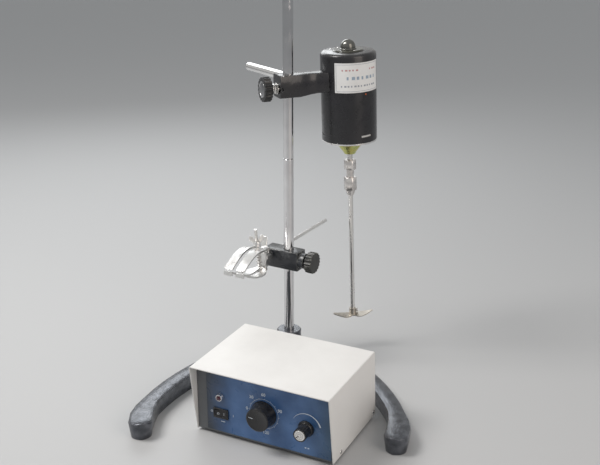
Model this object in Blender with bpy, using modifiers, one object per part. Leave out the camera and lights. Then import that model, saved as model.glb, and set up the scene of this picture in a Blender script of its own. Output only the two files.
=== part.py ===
# Electric laboratory stirrer on a cast stand, with its control box, motor bracket and flask clamp
#
# The origin is the stand rod's axis at table level, +Z is up, and the control box's panel faces -Y.
# Lengths are in metres. Every piece is a closed solid under its own name; empties carry the pieces
# that move together.
import math

import bmesh
import bpy
from mathutils import Matrix, Vector

# Fits and facets shared by the whole stirrer
SEAT_GAP = 0.0003
RUN_GAP = 0.0004
OVERRUN = 0.004
MERGE = 0.00001
ROUND_SEGMENTS = 32
SMALL_SEGMENTS = 16
HEX_SIDES = 6

# Stand rod, screwed together from two lengths
ROD_RADIUS = 0.0075
ROD_TOP = 0.650
ROD_SEAM_HEIGHT = 0.317
ROD_CHAMFER = 0.0012
SPIGOT_RADIUS = 0.004
SPIGOT_LENGTH = 0.016

# Cast base: a hub with two arms swept forward into feet
BASE_TURN = math.radians(20.2)
ARM_HEIGHT = 0.025
ARM_HALF_WIDTH = 0.0121
ARM_DRAFT = 0.0026
ARM_EDGE_RADIUS = 0.0045
ARM_REACH = 0.2640
ARM_SPREAD = 0.1690
ARM_START_PULL = 0.100
ARM_BEND_OUT = 0.188
ARM_BEND_FORWARD = 0.184
FOOT_BULGE_OUTER = 0.0038
FOOT_BULGE_INNER = 0.0052
FOOT_BULGE_START_SHARE = 0.77
FOOT_BULGE_END_SHARE = 0.92
ARM_STATIONS = 15
FOOT_STATIONS = 6
FOOT_LAST_ANGLE = math.radians(80)
EDGE_STEPS = 2
FLUTE_STEPS = 4
HUB_RADIUS = 0.027
HUB_HEIGHT = 0.047
HUB_NECK_RADIUS = 0.0185
HUB_FILLET = 0.007
HUB_CHAMFER = 0.0015
HUB_FLOOR = 0.008
LOCK_BOSS_RADIUS = 0.0085
LOCK_BOSS_REACH = 0.0245
LOCK_SCREW_HEIGHT = 0.036
LOCK_SCREW_RADIUS = 0.004
LOCK_SCREW_HEAD_RADIUS = 0.0073
LOCK_SCREW_HEAD_LENGTH = 0.0055

# Control box: bent cover over a bent chassis
BOX_CENTRE_X = 0.087
PANEL_Y = -0.2455
BOX_WIDTH = 0.200
BOX_HEIGHT = 0.098
BOX_DEPTH = 0.131
VISOR_REACH = 0.0154
BACK_LEAN = 0.008
SHEET = 0.0012
BEND_RADIUS = 0.0022
BEND_SEGMENTS = 3
BACK_RECESS = 0.004
CHASSIS_LIP = 0.012
FOOT_HEIGHT = 0.003
RUBBER_RADIUS = 0.0075
RUBBER_INSET = 0.016
RUBBER_TAPER = 0.0012

# Printed front plate and what is let into it
PLATE_THICKNESS = 0.0008
PLATE_LEFT_MARGIN = 0.0165
PLATE_RIGHT_MARGIN = 0.003
PLATE_BOTTOM_MARGIN = 0.0042
PLATE_TOP_MARGIN = 0.004
LAMP_X = -0.0625
LAMP_Z = 0.056
LAMP_RADIUS = 0.0036
LAMP_WALL = 0.0010
LAMP_REACH = 0.0082
LAMP_BEZEL_RADIUS = 0.0058
LAMP_BEZEL_REACH = 0.0052
LAMP_BODY_LENGTH = 0.018
SWITCH_X = -0.0620
SWITCH_Z = 0.0315
SWITCH_WIDTH = 0.0225
SWITCH_HEIGHT = 0.0145
SWITCH_RIM = 0.0021
SWITCH_INSET = 0.0013
SWITCH_PROUD = 0.0018
SWITCH_BODY_DEPTH = 0.017
SWITCH_EDGE = 0.0006
ROCKER_TILT = math.radians(9)
ROCKER_PROUD = 0.0032
ROCKER_SAG = 0.0020
ROCKER_DEPTH = 0.0050
ROCKER_PIN_RADIUS = 0.0010
ROCKER_PIN_DEPTH = 0.0030
ROCKER_SIDE_GAP = 0.0007

# Timer and speed control, each a knob on a spindle with its works behind the plate
TIMER_X = 0.0015
TIMER_Z = 0.047
TIMER_KNOB_RADIUS = 0.0185
TIMER_KNOB_DEPTH = 0.0190
TIMER_SKIRT_DEPTH = 0.0028
TIMER_TAPER = 0.0012
TIMER_EDGE = 0.0014
TIMER_DISH = 0.0008
TIMER_BODY_RADIUS = 0.021
TIMER_BODY_DEPTH = 0.030
SPEED_X = 0.062
SPEED_Z = 0.042
SPEED_KNOB_RADIUS = 0.0090
SPEED_SKIRT_RADIUS = 0.0112
SPEED_SKIRT_DEPTH = 0.0040
SPEED_KNOB_DEPTH = 0.0195
SPEED_FLUTES = 16
SPEED_FLUTE_DEPTH = 0.0007
SPEED_CAP_RADIUS = 0.0072
SPEED_CAP_THICKNESS = 0.0010
SPEED_BODY_RADIUS = 0.012
SPEED_BODY_DEPTH = 0.011
SPINDLE_RADIUS = 0.003
SPINDLE_SOCKET = 0.008
KNOB_LIFT = 0.0008
BUSH_RADIUS = 0.0048

# Circuit board on pillars inside the box, and the fittings through its back
BOARD_WIDTH = 0.120
BOARD_DEPTH = 0.050
BOARD_THICKNESS = 0.0016
BOARD_Y = 0.084
BOARD_PILLAR_HEIGHT = 0.008
BOARD_PILLAR_RADIUS = 0.0035
BOARD_PILLAR_INSET = 0.008
TRANSFORMER_WIDTH = 0.042
TRANSFORMER_DEPTH = 0.030
TRANSFORMER_HEIGHT = 0.034
TRANSFORMER_X = -0.033
BACK_FITTING_Z = 0.034
MAINS_GLAND_X = 0.060
FUSE_X = 0.020
MOTOR_SOCKET_X = -0.045
GLAND_RADIUS = 0.0095
GLAND_BODY_RADIUS = 0.0062
GLAND_REACH = 0.016
GLAND_BORE = 0.0032
FUSE_RADIUS = 0.0078
FUSE_BODY_RADIUS = 0.0060
FUSE_REACH = 0.011
FUSE_LENGTH = 0.030
SOCKET_RADIUS = 0.0100
SOCKET_BODY_RADIUS = 0.0075
SOCKET_REACH = 0.009
SOCKET_RECESS = 0.006
FITTING_INNER_REACH = 0.010
FITTING_FLANGE = 0.0025

# Motor bracket: a casting that slides on the rod and saddles the motor
ARM_ANGLE = math.radians(48)
BRACKET_HEIGHT = 0.423
BRACKET_DEPTH = 0.032
BRACKET_HALF_WIDTH = 0.0145
BRACKET_END = 0.0165
BRACKET_REACH_SHARES = (0.26, 0.42, 0.60, 0.78, 0.94, 1.12)
BRACKET_WIDTH_SHARES = (1.0, 0.86, 0.68, 0.76, 1.02, 1.20)
BRACKET_RISE_SHARES = (0.0, 0.02, 0.05, 0.09, 0.12, 0.14)
BRACKET_EDGE = 0.0030
BRACKET_BORE_GAP = 0.0004
BRACKET_NOTCH_DEPTH = 0.006
BRACKET_NOTCH_HEIGHT = 0.011
KNOB_AXIS_DROP = 0.0035
LOCK_STUD_RADIUS = 0.004
BRACKET_KNOB_RADIUS = 0.0175
BRACKET_KNOB_STANDOFF = 0.0115
BOSS_KNOB_RADIUS = 0.0160
BOSS_KNOB_STANDOFF = 0.0040
LOCK_KNOB_LENGTH = 0.0110
LOCK_KNOB_NECK_RADIUS = 0.0085
LOCK_KNOB_NECK_LENGTH = 0.0030
LOCK_KNOB_FLUTES = 18
LOCK_KNOB_FLUTE_DEPTH = 0.0021
LOCK_KNOB_EDGE = 0.0018
LOCK_CAP_RADIUS = 0.0115
LOCK_CAP_THICKNESS = 0.0014
LOCK_CAP_RIM = 0.0016
GRIP_BAR_RADIUS = 0.0063
GRIP_BAR_REACH = 0.137
GRIP_BAR_TURN = math.radians(102)
GRIP_BAR_RISE = 0.006
GRIP_BAR_WALL = 0.0010
GRIP_BAR_ROOT = 0.009

# Motor
MOTOR_OFFSET = 0.0930
MOTOR_LEAN = math.radians(2.2)
MOTOR_RADIUS = 0.0402
MOTOR_WALL = 0.0022
MOTOR_BOTTOM = 0.339
MOTOR_TOP = 0.4665
MOTOR_SHOULDER = 0.0050
SHOULDER_STEPS = 4
VENT_COUNT = 3
VENT_START = math.radians(-75)
VENT_LENGTH = 0.019
VENT_HEIGHT = 0.0032
VENT_RISE = 0.0095
END_PLATE_THICKNESS = 0.0022
BEARING_CONE_RADIUS = 0.0205
BEARING_CONE_TIP = 0.0085
BEARING_CONE_LENGTH = 0.0210
BEARING_CONE_SKIRT = 0.0075
BEARING_RADIUS = 0.0110
BEARING_WIDTH = 0.007
BEARING_CAGE_LIP = 0.0015
TOP_DISC_RADIUS = 0.0225
TOP_DISC_THICKNESS = 0.0018
TOP_DOME_RADIUS = 0.0108
TOP_DOME_HEIGHT = 0.0135
TOP_DOME_SKIRT = 0.0036
TOP_DOME_FLARE = 0.0014
DOME_STEPS = 5
FIELD_RING_WALL = 0.012
FIELD_RING_LENGTH = 0.062
FIELD_RING_RISE = 0.022
ARMATURE_GAP = 0.0010
ARMATURE_SLOTS = 12
ARMATURE_SLOT_DEPTH = 0.003
ARMATURE_SLOT_SHARE = 0.45
COMMUTATOR_RADIUS = 0.010
COMMUTATOR_LENGTH = 0.012
COMMUTATOR_LIFT = 0.008
BRUSH_RING_THICKNESS = 0.003
BRUSH_WIDTH = 0.006
BRUSH_HEIGHT = 0.007
MOTOR_SHAFT_RADIUS = 0.004

# Coupling, stirring rod and blade
CHUCK_DROP = 0.0098
CHUCK_TOP = MOTOR_BOTTOM - 2 * SEAT_GAP - END_PLATE_THICKNESS - BEARING_CONE_LENGTH - CHUCK_DROP
CHUCK_HEX_RADIUS = 0.0094
CHUCK_HEX_LENGTH = 0.015
CHUCK_NECK_RADIUS = 0.0056
CHUCK_NUT_TOP = 0.2787
CHUCK_NUT_LENGTH = 0.0207
CHUCK_NUT_RADIUS = 0.0098
CHUCK_NOSE_LENGTH = 0.0075
CHUCK_NOSE_RADIUS = 0.0050
CHUCK_CHAMFER = 0.0010
SHAFT_SOCKET_DEPTH = 0.013
STIRRING_ROD_RADIUS = 0.0035
STIRRING_ROD_TOP = 0.288
STIRRING_ROD_BOTTOM = 0.0515
BLADE_HEIGHT = 0.0545
BLADE_TURN = math.radians(34)
BLADE_SPAN = 0.062
BLADE_CHORD = 0.0145
BLADE_THICKNESS = 0.0016
BLADE_TIP_RISE = 0.0038
BLADE_SWEEP = 0.0025
BLADE_PITCH = math.radians(12)
BLADE_STATIONS = 9
BLADE_ROOT_SHARE = 0.52
BLADE_TIP_SHARE = 0.16
BLADE_HUB_RADIUS = 0.0054
BLADE_REAR_EDGE = 0.0015
BLADE_HUB_LENGTH = 0.0125
BLADE_SCREW_RADIUS = 0.0018
BLADE_SCREW_HEAD_RADIUS = 0.0030
BLADE_SCREW_HEAD_LENGTH = 0.0022

# Boss head on the stand rod
BOSS_TURN = math.radians(-3.5)
BOSS_HEIGHT = 0.163
BOSS_LEFT = 0.036
BOSS_RIGHT = 0.0215
BOSS_HALF_WIDTH = 0.0122
BOSS_DEPTH = 0.029
BOSS_EDGE = 0.0016
BOSS_COLLAR_RADIUS = 0.0115
BOSS_COLLAR_LENGTH = 0.0085
CLAMP_ROD_OFFSET = 0.0244
CLAMP_ROD_RISE = 0.007
CLAMP_ROD_RADIUS = 0.0029
CLAMP_ROD_REAR = 0.161
CLAMP_ROD_FRONT = 0.030
THUMB_SCREW_RADIUS = 0.0025
THUMB_HEAD_RADIUS = 0.0042
THUMB_HEAD_LENGTH = 0.006
WING_LENGTH = 0.0185
WING_HEIGHT = 0.0125
WING_THICKNESS = 0.0018
WING_LIFT_SHARE = 0.12
WING_TURN = math.radians(25)

# Flask clamp: fixed lower jaw, hinged upper jaw, bolt with wing nut and spring
YOKE_FRONT = 0.036
YOKE_BACK = 0.0165
YOKE_SOCKET_RADIUS = 0.0062
YOKE_HALF_WIDTH = 0.0050
YOKE_DROP = 0.004
YOKE_NOSE_RADIUS = 0.0050
YOKE_WAIST = 0.002
YOKE_EDGE = 0.0008
JAW_PIVOT_FORWARD = 0.030
JAW_PIVOT_RISE = 0.011
JAW_PIN_RADIUS = 0.0018
JAW_PIN_HEAD_RADIUS = 0.0030
JAW_PIN_HEAD_LENGTH = 0.0012
JAW_EAR_THICKNESS = 0.0025
JAW_EAR_RADIUS = 0.0052
JAW_EAR_LENGTH = 0.012
JAW_ROOT_LIFT = 0.002
JAW_ROOT_SHARE = 0.06
JAW_FULL_WIDTH_SHARE = 0.32
JAW_LENGTH = 0.080
JAW_HALF_WIDTH = 0.0165
JAW_THICKNESS = 0.0026
JAW_SLOT_WIDTH = 0.0062
JAW_TIP_HEIGHT = 0.0045
JAW_CROWN = 0.0022
JAW_ROWS = 12
JAW_COLUMNS = 6
UPPER_ARCH = 0.014
LOWER_ARCH = 0.010
LOWER_LIP = 0.0050
LIP_LEAN = 0.0012
TIP_GAP = 0.0012
BOLT_FORWARD = 0.0415
BOLT_LEAN = math.radians(10)
BOLT_SLOT_GAP = 0.0008
BOLT_FIT_ROUNDS = 12
BOLT_RADIUS = 0.0024
BOLT_TOP = 0.068
BOLT_HEAD_RADIUS = 0.0045
BOLT_HEAD_LENGTH = 0.003
NUT_RADIUS = 0.0058
NUT_LENGTH = 0.0062
NUT_WING_LENGTH = 0.0108
NUT_WING_HEIGHT = 0.0150
NUT_WING_LIFT_SHARE = 0.40
NUT_WING_THICKNESS = 0.0019
NUT_WING_TURN = math.radians(35)
SPRING_WIRE = 0.0006
SPRING_CURLS = 6
SPRING_POINTS_PER_CURL = 10
SPRING_COIL_GAP = 0.0008


def clear_scene():
    for obj in list(bpy.data.objects):
        bpy.data.objects.remove(obj, do_unlink=True)


def new_collection(name):
    collection = bpy.data.collections.new(name)
    bpy.context.scene.collection.children.link(collection)
    return collection


clear_scene()
PARTS = new_collection("electric_lab_stirrer")
CUTTERS = new_collection("cutters")
NONE = (0, 0, 0)
TO_FRONT = (math.pi / 2, 0, 0)
TO_BACK = (-math.pi / 2, 0, 0)
TO_LEFT = (0, -math.pi / 2, 0)
TO_RIGHT = (0, math.pi / 2, 0)
ACROSS = (math.pi / 2, 0, math.pi / 2)


def finish(name, colour, roughness, metallic):
    material = bpy.data.materials.new(name)
    material.use_nodes = True
    shader = material.node_tree.nodes["Principled BSDF"]
    shader.inputs["Base Color"].default_value = (*colour, 1)
    shader.inputs["Roughness"].default_value = roughness
    shader.inputs["Metallic"].default_value = metallic
    return material


CHROME = finish("chrome", (0.80, 0.80, 0.82), 0.12, 1.0)
STEEL = finish("bright_steel", (0.62, 0.61, 0.60), 0.30, 1.0)
NICKEL = finish("nickel_plate", (0.84, 0.84, 0.86), 0.20, 1.0)
CAST_GREY = finish("hammered_grey_enamel", (0.20, 0.21, 0.23), 0.35, 0.2)
BLACK_ENAMEL = finish("black_enamel", (0.025, 0.025, 0.028), 0.30, 0.0)
WHITE_POWDER = finish("white_powder_coat", (0.86, 0.85, 0.83), 0.45, 0.0)
GREY_SHEET = finish("grey_painted_sheet", (0.52, 0.54, 0.56), 0.45, 0.0)
BLUE_PRINT = finish("blue_printed_plate", (0.10, 0.22, 0.45), 0.40, 0.0)
BLACK_PLASTIC = finish("black_plastic", (0.02, 0.02, 0.022), 0.40, 0.0)
RUBBER = finish("black_rubber", (0.03, 0.03, 0.03), 0.80, 0.0)
LENS = finish("dark_red_lens", (0.20, 0.03, 0.10), 0.10, 0.0)
YELLOW_PLATED = finish("yellow_plated_steel", (0.62, 0.55, 0.18), 0.30, 1.0)
COPPER = finish("copper", (0.72, 0.38, 0.22), 0.35, 1.0)
LAMINATED = finish("laminated_iron", (0.30, 0.30, 0.31), 0.50, 0.8)
BOARD_GREEN = finish("circuit_board", (0.05, 0.25, 0.10), 0.50, 0.0)


def carrier(name, parent=None, place=NONE, turn=NONE):
    """An empty that carries the pieces of one moving group."""
    empty = bpy.data.objects.new(name, None)
    PARTS.objects.link(empty)
    empty.parent = parent
    empty.location = place
    empty.rotation_euler = turn
    return empty


def add(name, mesh, material, parent=None, place=NONE, turn=NONE):
    obj = bpy.data.objects.new(name, mesh)
    PARTS.objects.link(obj)
    obj.parent = parent
    obj.location = place
    obj.rotation_euler = turn
    if not mesh.materials:
        mesh.materials.append(material)
    return obj


def turned(name, profile, material, parent=None, place=NONE, turn=NONE, ring=False, sides=ROUND_SEGMENTS):
    """A lathe-turned piece: (radius, height) points that run down the outer side."""
    order = range(len(profile))
    edges = list(zip(order, order[1:]))
    if ring:
        edges.append((order[-1], 0))
    mesh = bpy.data.meshes.new(name)
    mesh.from_pydata([(radius, 0, height) for radius, height in profile], edges, [])
    obj = add(name, mesh, material, parent, place, turn)
    screw = obj.modifiers.new("Turning", "SCREW")
    screw.steps = sides
    screw.render_steps = sides
    screw.use_merge_vertices = True
    screw.merge_threshold = MERGE
    screw.use_smooth_shade = True
    return obj


def mesh_of(name, work):
    mesh = bpy.data.meshes.new(name)
    work.to_mesh(mesh)
    work.free()
    return mesh


def cylinder(name, radius, low, high, material, parent=None, place=NONE, turn=NONE, sides=SMALL_SEGMENTS):
    work = bmesh.new()
    middle = Matrix.Translation((0, 0, (low + high) / 2))
    bmesh.ops.create_cone(
        work, cap_ends=True, segments=sides, radius1=radius, radius2=radius, depth=high - low, matrix=middle
    )
    return add(name, mesh_of(name, work), material, parent, place, turn)


def block(name, low, high, material, parent=None, place=NONE, turn=NONE):
    work = bmesh.new()
    size = Vector(high) - Vector(low)
    middle = (Vector(high) + Vector(low)) / 2
    shape = Matrix.Translation(middle) @ Matrix.Diagonal((*size, 1))
    bmesh.ops.create_cube(work, size=1, matrix=shape)
    return add(name, mesh_of(name, work), material, parent, place, turn)


def plate(name, outlines, thickness, material, parent=None, place=NONE, turn=NONE):
    """A flat outline, with any holes, given thickness about its own plane."""
    curve = bpy.data.curves.new(name, "CURVE")
    curve.dimensions = "2D"
    curve.fill_mode = "BOTH"
    curve.extrude = thickness / 2
    for outline in outlines:
        spline = curve.splines.new("POLY")
        spline.points.add(len(outline) - 1)
        for point, (across, up) in zip(spline.points, outline):
            point.co = (across, up, 0, 1)
        spline.use_cyclic_u = True
    drawn = bpy.data.objects.new(name + "_outline", curve)
    PARTS.objects.link(drawn)
    graph = bpy.context.evaluated_depsgraph_get()
    mesh = bpy.data.meshes.new_from_object(drawn.evaluated_get(graph))
    bpy.data.objects.remove(drawn)
    work = bmesh.new()
    work.from_mesh(mesh)
    bmesh.ops.remove_doubles(work, verts=work.verts, dist=MERGE)
    bmesh.ops.recalc_face_normals(work, faces=work.faces)
    work.to_mesh(mesh)
    work.free()
    mesh.name = name
    return add(name, mesh, material, parent, place, turn)


def circle_points(radius, sides, centre=(0, 0), start=0.0, sweep=2 * math.pi):
    """Points along an arc; a full circle leaves out the repeated last point."""
    steps = sides if sweep >= 2 * math.pi else sides - 1
    return [
        (
            centre[0] + radius * math.cos(start + sweep * i / steps),
            centre[1] + radius * math.sin(start + sweep * i / steps),
        )
        for i in range(sides)
    ]


def section(centre, along, left, right, low, high, top_edge, low_edge=0.0, draft=0.0):
    """One cross-section of a swept casting, with rounded corners, seen along its way."""
    side = Vector((-along.y, along.x, 0))
    corners = (
        (draft + low_edge - right, low + low_edge, low_edge, math.pi),
        (left - draft - low_edge, low + low_edge, low_edge, 3 * math.pi / 2),
        (left - top_edge, high - top_edge, top_edge, 0),
        (top_edge - right, high - top_edge, top_edge, math.pi / 2),
    )
    ring = []
    for across, up, radius, start in corners:
        count = EDGE_STEPS + 1 if radius else 1
        for off_across, off_up in circle_points(radius, max(count, 2), (0, 0), start, math.pi / 2)[:count]:
            ring.append(centre + side * (across + off_across) + Vector((0, 0, up + off_up)))
    return ring


def loft(name, rings, material, parent=None, place=NONE, turn=NONE, open_start=False):
    """Skin over cross-sections that have equally many points."""
    work = bmesh.new()
    loops = [[work.verts.new(point) for point in ring] for ring in rings]
    count = len(loops[0])
    for here, beyond in zip(loops, loops[1:]):
        for i in range(count):
            j = (i + 1) % count
            work.faces.new((here[i], here[j], beyond[j], beyond[i]))
    work.faces.new(loops[-1])
    if not open_start:
        work.faces.new(loops[0][::-1])
    return add(name, mesh_of(name, work), material, parent, place, turn)


def rounded(obj, width, segments=2, angle=math.radians(50)):
    bevel = obj.modifiers.new("Rounded edges", "BEVEL")
    bevel.width = width
    bevel.segments = segments
    bevel.limit_method = "ANGLE"
    bevel.angle_limit = angle


def make_tool(obj):
    PARTS.objects.unlink(obj)
    CUTTERS.objects.link(obj)
    obj.hide_render = True
    obj.display_type = "WIRE"


def combine(obj, tools, operation):
    for tool in tools:
        if tool.name not in CUTTERS.objects:
            make_tool(tool)
        modifier = obj.modifiers.new(operation.title() + " " + tool.name, "BOOLEAN")
        modifier.operation = operation
        modifier.object = tool


def cut(obj, *tools):
    combine(obj, tools, "DIFFERENCE")


def fuse(obj, *tools):
    combine(obj, tools, "UNION")


def mirrored(obj):
    mirror = obj.modifiers.new("Other half", "MIRROR")
    mirror.use_axis = (True, False, False)
    mirror.merge_threshold = MERGE


def shell(obj, thickness):
    solid = obj.modifiers.new("Sheet", "SOLIDIFY")
    solid.thickness = thickness
    solid.offset = -1


def smooth_step(low, high, value):
    share = min(max((value - low) / (high - low), 0), 1)
    return share * share * (3 - 2 * share)


# Stand


def arm_point(share):
    """The right arm's centre line and its direction, on a cubic curve from the hub to the foot."""
    foot_radius = ARM_HALF_WIDTH + (FOOT_BULGE_OUTER + FOOT_BULGE_INNER) / 2
    ends = (
        Vector((0, 0, 0)),
        Vector((ARM_START_PULL, 0, 0)),
        Vector((ARM_BEND_OUT, -ARM_BEND_FORWARD, 0)),
        Vector((ARM_SPREAD, foot_radius - ARM_REACH, 0)),
    )
    rest = 1 - share
    place = rest**3 * ends[0] + 3 * rest**2 * share * ends[1]
    place += 3 * rest * share**2 * ends[2] + share**3 * ends[3]
    way = rest**2 * (ends[1] - ends[0]) + 2 * rest * share * (ends[2] - ends[1])
    way += share**2 * (ends[3] - ends[2])
    return place, way.normalized()


def make_base():
    rings = []
    for step in range(ARM_STATIONS):
        share = step / (ARM_STATIONS - 1)
        centre, along = arm_point(share)
        swell = smooth_step(FOOT_BULGE_START_SHARE, FOOT_BULGE_END_SHARE, share)
        outer = ARM_HALF_WIDTH + FOOT_BULGE_OUTER * swell
        inner = ARM_HALF_WIDTH + FOOT_BULGE_INNER * swell
        rings.append(
            section(centre, along, outer, inner, 0, ARM_HEIGHT, ARM_EDGE_RADIUS, draft=ARM_DRAFT)
        )
    end, along = arm_point(1)
    radius = ARM_HALF_WIDTH + (FOOT_BULGE_OUTER + FOOT_BULGE_INNER) / 2
    shift = (FOOT_BULGE_OUTER - FOOT_BULGE_INNER) / 2
    for step in range(1, FOOT_STATIONS + 1):
        angle = FOOT_LAST_ANGLE * step / FOOT_STATIONS
        half = radius * math.cos(angle)
        edge = min(ARM_EDGE_RADIUS, half / 2)
        draft = min(ARM_DRAFT, half / 2)
        centre = end + along * radius * math.sin(angle)
        ring = section(centre, along, half + shift, half - shift, 0, ARM_HEIGHT, edge, draft=draft)
        inward = along * ARM_DRAFT * math.sin(angle)
        ring[:2] = [point - inward for point in ring[:2]]
        rings.append(ring)
    base = loft("base_casting", rings, CAST_GREY, turn=(0, 0, BASE_TURN), open_start=True)
    mirrored(base)
    fillet_centre = (HUB_NECK_RADIUS + HUB_FILLET, ARM_HEIGHT + HUB_CHAMFER + HUB_FILLET)
    fillet = circle_points(HUB_FILLET, EDGE_STEPS + 2, fillet_centre, math.pi, math.pi / 2)
    hub_profile = [
        (0, HUB_HEIGHT),
        (HUB_NECK_RADIUS - HUB_CHAMFER, HUB_HEIGHT),
        (HUB_NECK_RADIUS, HUB_HEIGHT - HUB_CHAMFER),
        *fillet,
        (HUB_RADIUS, ARM_HEIGHT),
        (HUB_RADIUS, 0),
        (0, 0),
    ]
    spun = (0, 0, BASE_TURN)
    hub = turned("base_hub_form", hub_profile, CAST_GREY, turn=spun)
    boss = cylinder(
        "base_boss_form", LOCK_BOSS_RADIUS, ROD_RADIUS, LOCK_BOSS_REACH, CAST_GREY,
        carrier("base_screw_axis", turn=spun), (0, 0, LOCK_SCREW_HEIGHT), TO_BACK,
    )
    fuse(base, hub, boss)
    bore = cylinder(
        "base_bore_tool", ROD_RADIUS + SEAT_GAP, HUB_FLOOR, HUB_HEIGHT + OVERRUN, STEEL, sides=ROUND_SEGMENTS
    )
    hole = cylinder(
        "base_screw_tool", LOCK_SCREW_RADIUS + SEAT_GAP, 0, LOCK_BOSS_REACH + OVERRUN, STEEL,
        boss.parent, (0, 0, LOCK_SCREW_HEIGHT), TO_BACK,
    )
    cut(base, bore, hole)
    headed_screw(
        "base_lock_screw", LOCK_SCREW_RADIUS, LOCK_BOSS_REACH - ROD_RADIUS, LOCK_SCREW_HEAD_RADIUS,
        LOCK_SCREW_HEAD_LENGTH, STEEL, boss.parent, (0, ROD_RADIUS + SEAT_GAP, LOCK_SCREW_HEIGHT), TO_BACK,
    )


def headed_screw(name, radius, reach, head_radius, head_length, material, parent, place, turn):
    """A hexagon-headed screw: its tip at the origin, its head beyond the reach along +Z."""
    head = cylinder(
        name, head_radius, reach, reach + head_length, material, parent, place, turn, sides=HEX_SIDES
    )
    rounded(head, head_length / 10, 1)
    shank = cylinder(name + "_shank_form", radius, 0, reach + head_length / 2, material, parent, place, turn)
    fuse(head, shank)
    return head


def make_stand_rod():
    socket = SPIGOT_RADIUS + SEAT_GAP
    foot = HUB_FLOOR + SEAT_GAP
    lip = ROD_CHAMFER / 2
    lower = [
        (0, ROD_SEAM_HEIGHT - SPIGOT_LENGTH - ROD_CHAMFER),
        (socket, ROD_SEAM_HEIGHT - SPIGOT_LENGTH - ROD_CHAMFER),
        (socket, ROD_SEAM_HEIGHT),
        (ROD_RADIUS - lip, ROD_SEAM_HEIGHT),
        (ROD_RADIUS, ROD_SEAM_HEIGHT - lip),
        (ROD_RADIUS, foot + ROD_CHAMFER),
        (ROD_RADIUS - ROD_CHAMFER, foot),
        (0, foot),
    ]
    start = ROD_SEAM_HEIGHT + SEAT_GAP
    upper = [
        (0, ROD_TOP),
        (ROD_RADIUS - ROD_CHAMFER, ROD_TOP),
        (ROD_RADIUS, ROD_TOP - ROD_CHAMFER),
        (ROD_RADIUS, start + lip),
        (ROD_RADIUS - lip, start),
        (SPIGOT_RADIUS, start),
        (SPIGOT_RADIUS, ROD_SEAM_HEIGHT - SPIGOT_LENGTH),
        (0, ROD_SEAM_HEIGHT - SPIGOT_LENGTH),
    ]
    turned("stand_rod_lower", lower, CHROME)
    turned("stand_rod_upper", upper, CHROME)


# Control box


def box_shape(name, half_width, front, back, low, high, faces_kept, material, parent):
    """Flat faces of a box whose front and back lean, as the open surface of bent sheet.

    front and back are each (y at the top, y at the bottom); faces_kept are the outward directions
    whose faces stay.
    """
    work = bmesh.new()
    bmesh.ops.create_cube(work, size=1)
    for vert in work.verts:
        edges = back if vert.co.y > 0 else front
        top = vert.co.z > 0
        vert.co = (
            half_width if vert.co.x > 0 else -half_width,
            edges[0] if top else edges[1],
            high if top else low,
        )
    for face in list(work.faces):
        face.normal_update()
        direction = max(faces_kept, key=lambda way: Vector(way).dot(face.normal))
        if Vector(direction).dot(face.normal) < 1 / 2:
            work.faces.remove(face)
    loose = [edge for edge in work.edges if not edge.link_faces]
    for edge in loose:
        work.edges.remove(edge)
    return add(name, mesh_of(name, work), material, parent)


def bent(obj):
    bends = obj.modifiers.new("Bends", "BEVEL")
    bends.width = BEND_RADIUS
    bends.segments = BEND_SEGMENTS
    bends.limit_method = "ANGLE"
    shell(obj, SHEET)


def panel_hole(name, radius, x, z, box):
    """A round hole through the front plate and the chassis behind it."""
    depth = PLATE_THICKNESS + SHEET + OVERRUN
    return cylinder(name, radius, -depth, OVERRUN, STEEL, box, (x, 0, z), TO_FRONT, sides=ROUND_SEGMENTS)


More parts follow.
